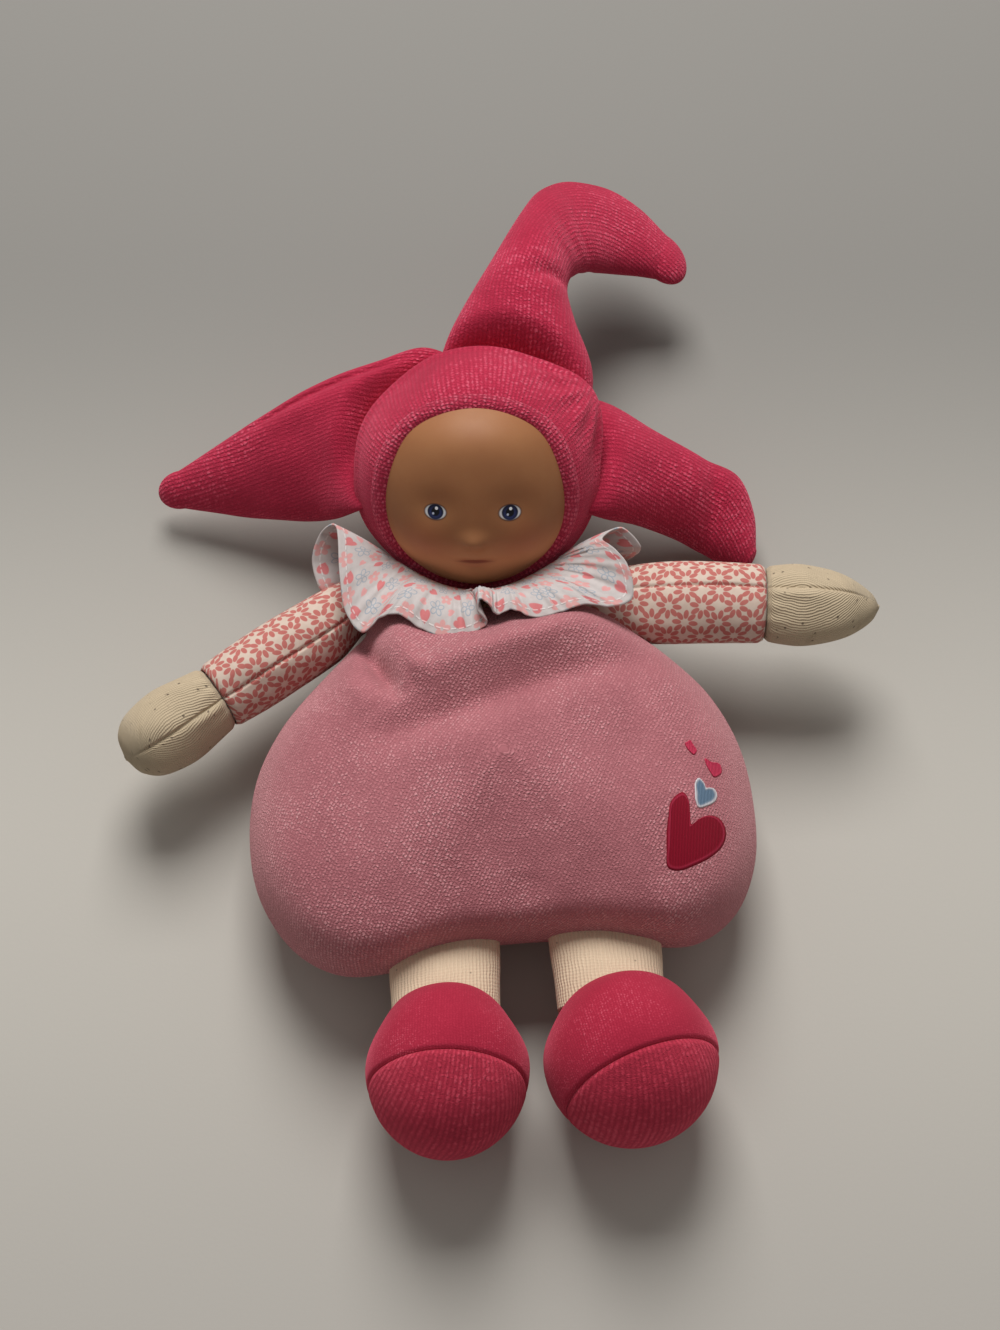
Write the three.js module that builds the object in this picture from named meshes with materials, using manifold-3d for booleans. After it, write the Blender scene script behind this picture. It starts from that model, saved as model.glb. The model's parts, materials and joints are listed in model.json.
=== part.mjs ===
// A soft baby doll in a three-pointed velour hood, lying on its back with its limbs spread.
// Millimetres. +X is the viewer's right, +Y points to the head and +Z up from the floor.
// Left and right are the viewer's. The origin lies on the flat of the bag's back.

import * as THREE from "three";
import { mergeVertices } from "three/addons/utils/BufferGeometryUtils.js";
import Module from "manifold-3d";

const wasm = await Module();
wasm.setup();

// Cloth, vinyl, and the room between pieces that touch
const GAP = 0.3;
const WADDING_GAP = 0.9;
const VELOUR = 1.6;
const JERSEY = 1.2;
const COTTON = 1;
const VINYL = 2;
const SEAM_SLIT = 0.4;
const FLOP_GAP = 0.4;

// Bag body
const BAG_HALF_WIDTH = 71.5;
const BAG_TOP = 57;
const BAG_BOTTOM = 46;
const SEAM_HEIGHT = 23;
const BAG_CROWN = 29;
const BAG_FLAT = 0.5;
const BAG_POLE_Y = 4;
const BAG_FULLNESS = 2.6;
const BAG_ROUNDNESS = 0.55;

// Neck and head
const NECK_X = -8;
const NECK_HEIGHT = 21;
const NECK_RADIUS = 10;
const NECK_LENGTH = 6.8;
const NECK_BITE = 14;
const TIE_RADIUS = 1.2;
const HEAD_RADIUS = 35.5;
const HEAD_PLAY = 0.5;
const FACE_TILT = 44;
const FACE_ANGLE = 47;
const FACE_TUCK = 15;
const FACE_BULGE = 1.3;
const NOSE_HEIGHT = 2.2;
const NOSE_ANGLE = 20;
const NOSE_SPREAD = 6;
const BRIM_RADIUS = 1.6;
const BRIM_LIFT = 0.1;
const HOOD_SEAM_ANGLE = 96;

// Hood points
const POINT_SWELL = 15;
const POINT_WADDING_START = 12;
const POINT_WADDING_GAP = 1.8;
const POINT_LEAST = 0.2;
const PEAK_THICKNESS = 25;
const LEFT_POINT_THICKNESS = 23;
const RIGHT_POINT_THICKNESS = 20;

// Collar
const RUFFLE_FOLDS = 13;
const RUFFLE_FOLD_DEPTH = 2.6;
const RUFFLE_INNER = 14.6;
const RUFFLE_HEIGHT = 1.7;
const RUFFLE_ARCH = 5.5;

// Arms
const SHOULDER_HALF = 33.5;
const SHOULDER_RISE = 1.5;
const SHOULDER_GAP = 1.2;
const SHOULDER_LIFT = 3.2;
const SHOULDER_DROP = 8.5;
const ARM_HEIGHT = 25;
const ARM_RADIUS = 11;
const SLEEVE_LENGTH = 50;
const HAND_LENGTH = 31.5;
const LEFT_ARM = { side: -1, droop: 36, rise: 1, spread: 0.955 };
const RIGHT_ARM = { side: 1, droop: 2.5, rise: 6, spread: 1.12 };

// Legs
const LEG_HALF_WIDTH = 15.2;
const LEG_RADIUS = 14.6;
const LEG_LENGTH = 15;
const LEG_SEAM_GAP = 0.9;
const SLIPPER_REACH = 34;
const SLIPPER_HALF_WIDTH = 22.6;
const SLIPPER_RADIUS = 24.3;
const SLIPPER_TUCK = 2;
const SLIPPER_SEAM = 90;
const LEFT_LEG = { x: -16.5, splay: 2, soleTurn: 0, soleLift: 10 };
const RIGHT_LEG = { x: 28, splay: 12, soleTurn: 10, soleLift: 10 };

// Hearts on the bag, each with its centre, width and turn
const HEART_THICKNESS = 0.9;
const HEARTS = {
  heart_large: { x: 52.5, y: -15.5, width: 17, turn: -32 },
  heart_blue: { x: 55.4, y: -3, width: 6.5, turn: -20 },
  heart_small_upper: { x: 51.2, y: 10.5, width: 3.4, turn: -20 },
  heart_small_lower: { x: 57, y: 4.2, width: 4.4, turn: -10 },
};

const PLAIN = {
  raspberry: new THREE.MeshStandardMaterial({ color: 0xb92f52, roughness: 0.9 }),
  dustyPink: new THREE.MeshStandardMaterial({ color: 0xc48494, roughness: 0.9 }),
  vinyl: new THREE.MeshStandardMaterial({ color: 0x8b633f, roughness: 0.45 }),
  whiteCotton: new THREE.MeshStandardMaterial({ color: 0xece8e6, roughness: 0.85 }),
  creamCotton: new THREE.MeshStandardMaterial({ color: 0xe8ddd0, roughness: 0.85 }),
  ecruJersey: new THREE.MeshStandardMaterial({ color: 0xe2d8c6, roughness: 0.9 }),
  ribJersey: new THREE.MeshStandardMaterial({ color: 0xe9e0d2, roughness: 0.9 }),
  wadding: new THREE.MeshStandardMaterial({ color: 0xf3f1ec, roughness: 1 }),
  thread: new THREE.MeshStandardMaterial({ color: 0xb8385c, roughness: 0.6 }),
  blueThread: new THREE.MeshStandardMaterial({ color: 0x7d86a8, roughness: 0.6 }),
};

const vec = (x, y, z) => new THREE.Vector3(x, y, z);
const rad = THREE.MathUtils.degToRad;
const mix = THREE.MathUtils.lerp;
const steps = (count) => Array.from({ length: count + 1 }, (_, i) => i / count);
const turns = (count) => Array.from({ length: count }, (_, i) => (2 * Math.PI * i) / count);

// A closed surface through rings of points that all run the same way round.
// A ring of one point is a pole, an end ring with more gets a pole at its centre,
// and a loop of rings closes on its first ring instead.
function skin(rings, loop = false) {
  const middle = (ring) => ring.reduce((sum, p) => sum.add(p), vec(0, 0, 0)).divideScalar(ring.length);
  const all = [...rings];
  if (!loop && all[0].length > 1) all.unshift([middle(all[0])]);
  if (!loop && all.at(-1).length > 1) all.push([middle(all.at(-1))]);
  const first = [];
  all.reduce((count, ring) => (first.push(count), count + ring.length), 0);
  const points = all.flat();
  const index = [];
  const pairs = loop ? all.length : all.length - 1;
  for (let i = 0; i < pairs; i++) {
    const j = (i + 1) % all.length;
    const around = Math.max(all[i].length, all[j].length);
    for (let k = 0; k < around; k++) {
      const a = first[i] + (k % all[i].length);
      const b = first[i] + ((k + 1) % all[i].length);
      const c = first[j] + (k % all[j].length);
      const d = first[j] + ((k + 1) % all[j].length);
      if (a !== b) index.push(a, b, c);
      if (c !== d) index.push(b, d, c);
    }
  }
  let volume = 0;
  for (let i = 0; i < index.length; i += 3) {
    const [a, b, c] = index.slice(i, i + 3).map((n) => points[n]);
    volume += a.dot(vec(0, 0, 0).crossVectors(b, c));
  }
  if (volume < 0) index.reverse();
  const geometry = new THREE.BufferGeometry().setFromPoints(points);
  return geometry.setIndex(index);
}

// A tube open at both ends, and a cup open at the first ring of its two walls.
const tube = (outer, inner) => skin([...outer, ...[...inner].reverse()], true);
const cup = (outer, outerPole, inner, innerPole) =>
  skin([[innerPole], ...[...inner].reverse(), ...outer, [outerPole]]);

function solidOf(geometry) {
  const bare = new THREE.BufferGeometry().setAttribute("position", geometry.getAttribute("position"));
  const merged = mergeVertices(bare.setIndex(geometry.index));
  return new wasm.Manifold(
    new wasm.Mesh({
      numProp: 3,
      vertProperties: merged.attributes.position.array,
      triVerts: new Uint32Array(merged.index.array),
    }),
  );
}

function cut(geometry, ...tools) {
  const left = tools.reduce((body, tool) => body.subtract(solidOf(tool)), solidOf(geometry));
  const mesh = left.getMesh();
  return new THREE.BufferGeometry()
    .setAttribute("position", new THREE.BufferAttribute(mesh.vertProperties, 3))
    .setIndex(new THREE.BufferAttribute(mesh.triVerts, 1));
}

function addPiece(group, name, geometry, material) {
  const mesh = new THREE.Mesh(geometry, material);
  mesh.name = name;
  group.add(mesh);
}

// An oval ring round a centre, spanned by two half axes.
const oval = (centre, across, up, sides) =>
  turns(sides).map((a) => centre.clone().addScaledVector(across, Math.cos(a)).addScaledVector(up, Math.sin(a)));

// A ring of a ball at the angle polar from the ball's own axis, with radius as a function of both angles.
const ballRing = (polar, radius, sides) =>
  turns(sides).map((around) =>
    vec(
      Math.sin(polar) * Math.cos(around),
      Math.sin(polar) * Math.sin(around),
      Math.cos(polar),
    ).multiplyScalar(radius(polar, around)),
  );

const doll = new THREE.Group();

// Bag body: two domed velour panels over one outline, sewn at a level side seam.
const BAG_SIDES = 36;
const BAG_RINGS = 5;
const BAG_POLE = vec(0, BAG_POLE_Y, 0);
const BAG_SIDE_SHAPE = [
  [0.52, 0.83], [0.66, 0.745], [0.82, 0.56], [0.94, 0.28], [0.99, -0.04], [0.985, -0.43],
  [0.9, -0.75], [0.75, -0.92], [0.57, -0.93], [0.39, -0.9], [0.07, -0.91], [-0.24, -0.98],
  [-0.46, -1.1], [-0.64, -1.11], [-0.81, -0.97], [-0.95, -0.65], [-1, -0.26], [-0.98, 0.09],
  [-0.895, 0.35], [-0.775, 0.56], [-0.62, 0.77],
];
const shoulderEdge = SHOULDER_HALF - SHOULDER_GAP;
const bagOutline = new THREE.CatmullRomCurve3(
  [
    vec(NECK_X + NECK_RADIUS, BAG_TOP, 0),
    vec(NECK_X + shoulderEdge, BAG_TOP + SHOULDER_LIFT, 0),
    vec(NECK_X + shoulderEdge, BAG_TOP - SHOULDER_DROP, 0),
    ...BAG_SIDE_SHAPE.map(([x, y]) => vec(x * BAG_HALF_WIDTH, y * (y > 0 ? BAG_TOP : BAG_BOTTOM), 0)),
    vec(NECK_X - shoulderEdge, BAG_TOP - SHOULDER_DROP, 0),
    vec(NECK_X - shoulderEdge, BAG_TOP + SHOULDER_LIFT, 0),
    vec(NECK_X - NECK_RADIUS, BAG_TOP, 0),
  ],
  true,
  "centripetal",
);
const bagEdge = bagOutline.getSpacedPoints(BAG_SIDES).slice(0, BAG_SIDES);
const bagCrown = (share) => (1 - share ** BAG_FULLNESS) ** BAG_ROUNDNESS;

// One ring of a panel: share runs from the pole to the seam, inset draws the wall in,
// and a negative side makes the back, which the floor presses flat.
function bagRing(share, inset, side) {
  const rise = bagCrown(share);
  const front = SEAM_HEIGHT + GAP / 2 + (BAG_CROWN - inset) * rise;
  const back = Math.max(inset, SEAM_HEIGHT - GAP / 2 - (SEAM_HEIGHT + BAG_FLAT - inset) * rise);
  return bagEdge.map((edge) => {
    const reach = edge.clone().sub(BAG_POLE);
    const length = share * (reach.length() - inset);
    return BAG_POLE.clone().addScaledVector(reach.normalize(), length).setZ(side > 0 ? front : back);
  });
}

function bagPanel(side) {
  const shares = steps(BAG_RINGS).slice(1).map((s) => Math.sin((s * Math.PI) / 2)).reverse();
  const wall = (inset) => shares.map((share) => bagRing(share, inset, side));
  const pole = (inset) => bagRing(0, inset, side)[0];
  return cup(wall(0), pole(0), wall(VELOUR), pole(VELOUR));
}

const NECK_SIDES = 18;
const NECK_RINGS = 5;
const neckProfile = (grow, start, dome) => [
  new THREE.Vector2(0, start),
  new THREE.Vector2(NECK_RADIUS + grow, start),
  ...steps(NECK_RINGS).map((s) => {
    const angle = (s * Math.PI) / 2;
    const radius = NECK_RADIUS + grow;
    return new THREE.Vector2(s === 1 ? 0 : radius * Math.cos(angle), dome + radius * Math.sin(angle));
  }),
];
const neckDome = BAG_TOP + NECK_LENGTH - NECK_RADIUS;
const neckStart = BAG_TOP - NECK_BITE;
const neckHole = new THREE.LatheGeometry(neckProfile(GAP, neckStart - GAP, neckDome), NECK_SIDES);
neckHole.translate(NECK_X, 0, NECK_HEIGHT);

const torso = new THREE.Group();
doll.add(torso);
addPiece(torso, "body_front", cut(bagPanel(1), neckHole), PLAIN.dustyPink);
addPiece(torso, "body_back", cut(bagPanel(-1), neckHole), PLAIN.dustyPink);

const fillingInset = VELOUR + WADDING_GAP;
const fillingShares = steps(BAG_RINGS).slice(1).map((s) => Math.sin((s * Math.PI) / 2));
const bodyFilling = skin([
  [bagRing(0, fillingInset, 1)[0]],
  ...fillingShares.map((share) => bagRing(share, fillingInset, 1)),
  ...[...fillingShares].reverse().map((share) => bagRing(share, fillingInset, -1)),
  [bagRing(0, fillingInset, -1)[0]],
]);
addPiece(torso, "body_filling", cut(bodyFilling, neckHole), PLAIN.wadding);

// Hearts: a rounded heart laid on the front panel, a little above its cloth.
const HEART_SIDES = 18;
const HEART_RINGS = [0.5, 1];

function bagFrontHeight(x, y) {
  const away = vec(x, y, 0).sub(BAG_POLE);
  const angle = Math.atan2(away.y, away.x);
  const offAngle = (edge) => {
    const difference = Math.atan2(edge.y - BAG_POLE.y, edge.x - BAG_POLE.x) - angle;
    return Math.abs(Math.atan2(Math.sin(difference), Math.cos(difference)));
  };
  const nearest = [...bagEdge].sort((a, b) => offAngle(a) - offAngle(b)).slice(0, 2);
  const weight = offAngle(nearest[0]) / (offAngle(nearest[0]) + offAngle(nearest[1]));
  const reach = mix(nearest[0].distanceTo(BAG_POLE), nearest[1].distanceTo(BAG_POLE), weight);
  return SEAM_HEIGHT + GAP / 2 + BAG_CROWN * bagCrown(away.length() / reach);
}

function heart({ x, y, width, turn }) {
  const layer = (share, lift) =>
    turns(HEART_SIDES).map((a) => {
      const u = (width / 2) * share * Math.sin(a) ** 3;
      const v =
        (width / 32) * share *
        (13 * Math.cos(a) - 5 * Math.cos(2 * a) - 2 * Math.cos(3 * a) - Math.cos(4 * a) + 4);
      const px = x + u * Math.cos(rad(turn)) - v * Math.sin(rad(turn));
      const py = y + u * Math.sin(rad(turn)) + v * Math.cos(rad(turn));
      return vec(px, py, bagFrontHeight(px, py) + lift);
    });
  const top = HEART_RINGS.map((share) => layer(share, GAP + HEART_THICKNESS));
  const under = [...HEART_RINGS].reverse().map((share) => layer(share, GAP));
  return skin([[layer(0, GAP + HEART_THICKNESS)[0]], ...top, ...under, [layer(0, GAP)[0]]]);
}

Object.entries(HEARTS).forEach(([name, place]) =>
  addPiece(torso, name, heart(place), name === "heart_blue" ? PLAIN.blueThread : PLAIN.thread),
);

// Neck: a stuffed tube with a round end that the head rolls on, gathered by a cord.
const neck = new THREE.Group();
neck.position.set(NECK_X, 0, NECK_HEIGHT);
doll.add(neck);
addPiece(
  neck,
  "neck",
  new THREE.LatheGeometry(neckProfile(0, neckStart, neckDome), NECK_SIDES),
  PLAIN.ecruJersey,
);
const TIE_SIDES = 6;
const TIE_STEPS = 20;
const tie = new THREE.TorusGeometry(NECK_RADIUS + GAP + TIE_RADIUS, TIE_RADIUS, TIE_SIDES, TIE_STEPS);
tie.rotateX(Math.PI / 2).translate(0, BAG_TOP + GAP + TIE_RADIUS, 0);
addPiece(neck, "neck_tie", tie, PLAIN.whiteCotton);

// Head: a ball that lies on the floor and touches the round end of the neck.
const headReach = HEAD_RADIUS + HEAD_PLAY + NECK_RADIUS;
const headY = neckDome + Math.sqrt(headReach ** 2 - (HEAD_RADIUS - NECK_HEIGHT) ** 2);
const head = new THREE.Group();
head.position.set(NECK_X, headY, HEAD_RADIUS);
doll.add(head);
const faceFrame = new THREE.Group();
faceFrame.rotation.x = rad(FACE_TILT);
head.add(faceFrame);

const HEAD_SIDES = 22;
const HOOD_RINGS = 5;
const HOOD_LAST_RING = 165;
const BRIM_SIDES = 7;
const BRIM_STEPS = 30;
const even = (radius) => () => radius;
const polarSteps = (from, to, count) => steps(count).map((s) => rad(mix(from, to, s)));
const brimHalf = THREE.MathUtils.radToDeg((BRIM_RADIUS + GAP) / HEAD_RADIUS);
const seamHalf = THREE.MathUtils.radToDeg(GAP / 2 / HEAD_RADIUS);

function hoodFront() {
  const wall = (radius) =>
    polarSteps(FACE_ANGLE + brimHalf, HOOD_SEAM_ANGLE - seamHalf, HOOD_RINGS).map((p) =>
      ballRing(p, even(radius), HEAD_SIDES),
    );
  return tube(wall(HEAD_RADIUS), wall(HEAD_RADIUS - VELOUR));
}

function hoodBack() {
  const wall = (radius) =>
    polarSteps(HOOD_SEAM_ANGLE + seamHalf, HOOD_LAST_RING, HOOD_RINGS).map((p) =>
      ballRing(p, even(radius), HEAD_SIDES),
    );
  const pole = (radius) => vec(0, 0, -radius);
  const inside = HEAD_RADIUS - VELOUR;
  return cup(wall(HEAD_RADIUS), pole(HEAD_RADIUS), wall(inside), pole(inside));
}

// The face bulges out of the brim, and its rim tucks in under the hood.
const faceSeat = HEAD_RADIUS - VELOUR - 2 * GAP;
function faceRadius(polar, around) {
  const open = rad(FACE_ANGLE) - BRIM_RADIUS / HEAD_RADIUS;
  const bulge = FACE_BULGE * Math.max(0, 1 - (polar / open) ** 2);
  const noseX = polar * Math.cos(around);
  const noseY = polar * Math.sin(around) + rad(NOSE_ANGLE);
  const nose = NOSE_HEIGHT * Math.exp(-(noseX ** 2 + noseY ** 2) / (2 * rad(NOSE_SPREAD) ** 2));
  return faceSeat + bulge + nose;
}

const FACE_FIRST_RING = 6;
const FACE_RINGS = 7;
function faceMask() {
  const polars = polarSteps(FACE_FIRST_RING, FACE_ANGLE + FACE_TUCK, FACE_RINGS).reverse();
  const inner = (polar) => faceSeat - VINYL + FACE_BULGE * Math.max(0, 1 - polar / rad(FACE_ANGLE));
  return cup(
    polars.map((p) => ballRing(p, faceRadius, HEAD_SIDES)),
    vec(0, 0, faceRadius(0, 0)),
    polars.map((p) => ballRing(p, inner, HEAD_SIDES)),
    vec(0, 0, inner(0)),
  );
}

const FILLING_SIDES = 18;
const FILLING_FIRST_RING = 20;
const FILLING_LAST_RING = 160;
const FILLING_STEP = 10;
function headFilling() {
  const behindFace = even(faceSeat - VINYL - WADDING_GAP);
  const inHood = even(HEAD_RADIUS - VELOUR - WADDING_GAP);
  const faceEdge = FACE_ANGLE + FACE_TUCK;
  const front = polarSteps(FILLING_FIRST_RING, faceEdge, 2).map((p) => ballRing(p, behindFace, FILLING_SIDES));
  const back = polarSteps(faceEdge + FILLING_STEP, FILLING_LAST_RING, 4).map((p) =>
    ballRing(p, inHood, FILLING_SIDES),
  );
  return skin([[vec(0, 0, behindFace())], ...front, ...back, [vec(0, 0, -inHood())]]);
}

const brimReach = HEAD_RADIUS + BRIM_LIFT;
const brim = new THREE.TorusGeometry(brimReach * Math.sin(rad(FACE_ANGLE)), BRIM_RADIUS, BRIM_SIDES, BRIM_STEPS);
brim.translate(0, 0, brimReach * Math.cos(rad(FACE_ANGLE)));

addPiece(faceFrame, "face_mask", faceMask(), PLAIN.vinyl);
addPiece(faceFrame, "head_filling", headFilling(), PLAIN.wadding);
addPiece(faceFrame, "hood_brim", brim, PLAIN.raspberry);
addPiece(faceFrame, "hood_front", hoodFront(), PLAIN.raspberry);
addPiece(faceFrame, "hood_back", hoodBack(), PLAIN.raspberry);

// Hood points: flat bags between two edge curves, sewn thin to the ball and swelling away from it.
// Each edge point is measured from the ball's centre, and shares the height of its partner.
// A point flops about the level line that touches the ball at its seat, so its foot is cut
// by the ball as it comes past over the whole swing.
const POINT_SIDES = 12;
const POINT_RINGS = 8;
const POINT_TAPER = 1.08;
const POINT_FULLNESS = 1.15;
const POINT_ROUNDEST = 1.1;
const POINT_LAST_STEP = 0.9;
const FLOP_STEP = 7.5;
const CUTTER_SIDES = 32;
const CUTTER_RINGS = 20;

function hoodPoint({ edges, thickness, tip, seat, flop }) {
  const curve = (pick) => new THREE.CatmullRomCurve3(edges.map(pick), false, "centripetal");
  const one = curve(([x, y, , , z]) => vec(x, y, z));
  const other = curve(([, , x, y, z]) => vec(x, y, z));
  const ring = (t, inset) => {
    const a = one.getPoint(t);
    const b = other.getPoint(t);
    const centre = a.clone().add(b).divideScalar(2);
    const half = a.clone().sub(b).divideScalar(2);
    const width = 1 - inset / half.length();
    const round = (thickness / 2) * Math.min(1, Math.sqrt(POINT_TAPER - t) * POINT_FULLNESS);
    return turns(POINT_SIDES).map((angle) => {
      const edge = centre.clone().addScaledVector(half, Math.cos(angle));
      const point = centre.clone().addScaledVector(half, width * Math.cos(angle));
      const out = THREE.MathUtils.clamp((edge.length() - HEAD_RADIUS) / POINT_SWELL, 0, 1);
      const sewn = VELOUR + SEAM_SLIT;
      const rise = sewn + (Math.min(round, half.length() * POINT_ROUNDEST) - sewn) * Math.sin((out * Math.PI) / 2);
      point.z += Math.max(rise - inset, POINT_LEAST) * Math.sin(angle);
      return point;
    });
  };
  const rings = (inset) => steps(POINT_RINGS).map((t) => ring(t, inset));
  const pole = (inset) => {
    const end = one.getPoint(1).add(other.getPoint(1)).divideScalar(2);
    const before = one.getPoint(POINT_LAST_STEP).add(other.getPoint(POINT_LAST_STEP)).divideScalar(2);
    const onward = end.clone().sub(before).normalize();
    return end.addScaledVector(onward, tip - inset);
  };
  const ball = (grow) => closed(new THREE.SphereGeometry(HEAD_RADIUS + grow, CUTTER_SIDES, CUTTER_RINGS));
  const hinge = seat.clone().setLength(HEAD_RADIUS + GAP);
  const axis = vec(seat.y, -seat.x, 0).normalize();
  const swings = steps(Math.ceil((flop.max - flop.min) / FLOP_STEP)).map((s) => mix(flop.min, flop.max, s));
  const passing = swings.map((angle) => {
    const centre = hinge.clone().negate().applyAxisAngle(axis, -rad(angle)).add(hinge);
    return ball(FLOP_GAP).translate(centre.x, centre.y, centre.z);
  });
  const inside = VELOUR;
  const stuffing = VELOUR + POINT_WADDING_GAP;
  return {
    cloth: cut(cup(rings(0), pole(0), rings(inside), pole(inside)), ...passing),
    wadding: cut(skin([...rings(stuffing), [pole(stuffing)]]), ball(POINT_WADDING_START)),
  };
}

// A geometry with its seams merged, so that it is one closed surface.
function closed(geometry) {
  const bare = new THREE.BufferGeometry().setAttribute("position", geometry.getAttribute("position"));
  const merged = mergeVertices(bare.setIndex(geometry.index));
  const kept = [];
  for (let i = 0; i < merged.index.count; i += 3) {
    const face = [0, 1, 2].map((n) => merged.index.getX(i + n));
    if (new Set(face).size === 3) kept.push(...face);
  }
  return merged.setIndex(kept);
}

const HOOD_POINTS = {
  hood_peak: {
    edges: [
      [-13, 28, 27, 15, 12],
      [-6, 48, 29, 38, 12.5],
      [6, 70, 27.5, 55, 9],
      [18.5, 92, 32, 66, 4],
      [42, 100.5, 38, 69.5, -1],
      [57, 90.5, 48, 70, -5.5],
      [65.5, 79, 60, 72, -9],
    ],
    thickness: PEAK_THICKNESS,
    seat: vec(10.4, 31.85, 12.7),
    flop: { min: -15, max: 45 },
    tip: 3,
    wadding: "peak_wadding",
  },
  hood_left_point: {
    edges: [
      [-17, 28, -31, -12, 0],
      [-34, 35, -42, -12.5, -2],
      [-52, 29.5, -56, -9.5, -7.5],
      [-70, 22.5, -70, -6.3, -13],
      [-87, 15, -85.5, -3, -18.5],
      [-95, 8.5, -94.5, 2, -21.5],
    ],
    thickness: LEFT_POINT_THICKNESS,
    seat: vec(-33.7, 11.8, 0),
    flop: { min: -10, max: 45 },
    tip: 3,
    wadding: "left_point_wadding",
  },
  hood_right_point: {
    edges: [
      [22, 24, 30, -13.5, 0],
      [37, 24.5, 37.5, -14, -3],
      [53, 18, 49, -12.7, -10],
      [69, 11.5, 60, -14, -16.5],
      [79.5, 8, 67.5, -16.3, -21],
      [84.5, -3, 74, -18.7, -24],
      [85, -14, 80.5, -20.5, -25.5],
    ],
    thickness: RIGHT_POINT_THICKNESS,
    seat: vec(35.6, 3.5, 0),
    flop: { min: -10, max: 45 },
    tip: 1.5,
    wadding: "right_point_wadding",
  },
};

Object.entries(HOOD_POINTS).forEach(([name, shape]) => {
  const made = hoodPoint(shape);
  addPiece(head, name, made.cloth, PLAIN.raspberry);
  addPiece(head, shape.wadding, made.wadding, PLAIN.wadding);
});

// Collar: a gathered strip that fans out from the neck over the chest and the shoulders.
// The hem's points are measured from the neck's axis at the top of the bag.
const RUFFLE_SIDES = 66;
const RUFFLE_ROWS = 3;
const RUFFLE_FOLD_LEAN = { x: 0.4, y: -0.5, z: 0.75 };
const RUFFLE_NEAR = 0.1;
const RUFFLE_HEM = [
  [44, 16, 8], [46, 14.5, 18], [40, 4, 24], [34, -7, 25], [22, -12, 27], [9, -14, 28], [0, -15, 28],
  [-12, -16, 27], [-25, -13.5, 24], [-36, -7, 21], [-44, 2, 21], [-47, 11, 18], [-46, 16, 6],
  [-38, 14, -8], [-22, 9, -16], [0, 7, -18], [22, 10, -16], [38, 15.5, -6],
];

function collarRuffle() {
  const hem = new THREE.CatmullRomCurve3(RUFFLE_HEM.map(([x, y, z]) => vec(x, y, z)), true, "centripetal");
  const hemPoints = hem.getPoints(RUFFLE_SIDES).slice(0, RUFFLE_SIDES);
  const middle = (k, v) => {
    const edge = hemPoints[(k + RUFFLE_SIDES) % RUFFLE_SIDES];
    const angle = Math.atan2(edge.z, edge.x);
    const root = vec(RUFFLE_INNER * Math.cos(angle), RUFFLE_HEIGHT, RUFFLE_INNER * Math.sin(angle));
    const fold = Math.sin((2 * Math.PI * RUFFLE_FOLDS * k) / RUFFLE_SIDES);
    const point = root.lerp(edge, v);
    const lean = RUFFLE_FOLD_LEAN;
    const outward = vec(Math.cos(angle) * lean.x, lean.y, Math.sin(angle) * lean.z);
    point.addScaledVector(outward, RUFFLE_FOLD_DEPTH * v * fold);
    point.z += RUFFLE_ARCH * Math.sin(Math.PI * Math.max(0, v)) * Math.max(0, Math.sin(angle));
    return point;
  };
  const face = (side, v) =>
    hemPoints.map((_, k) => {
      const along = middle(k + 1, v).sub(middle(k - 1, v));
      const out = middle(k, Math.min(1, v + RUFFLE_NEAR)).sub(middle(k, v - RUFFLE_NEAR));
      const normal = along.cross(out).normalize();
      return middle(k, v).addScaledVector(normal, (side * COTTON) / 2);
    });
  const rows = steps(RUFFLE_ROWS);
  return tube(rows.map((v) => face(1, v)), rows.map((v) => face(-1, v)));
}

const collar = new THREE.Group();
collar.position.set(NECK_X, BAG_TOP, NECK_HEIGHT);
doll.add(collar);
addPiece(collar, "collar_ruffle", collarRuffle(), PLAIN.whiteCotton);

// Arms: a sleeve that starts flat at the shoulder seam, and a jersey mitten on its end.
const ARM_SIDES = 14;
const SHOULDER_EASE = 0.3;
const SLEEVE_SHAPE = [
  [0, 0.5, 0], [0.1, 0.58, 0.3], [0.24, 0.8, 0.6], [0.45, 0.98, 0.92], [0.75, 1, 1.02], [1, 0.95, 0.97],
];
const HAND_SHAPE = [[0, 0.92, 0.94], [0.2, 1.02, 1], [0.5, 1.13, 1.05], [0.76, 1, 0.94], [0.93, 0.66, 0.62]];

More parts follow.
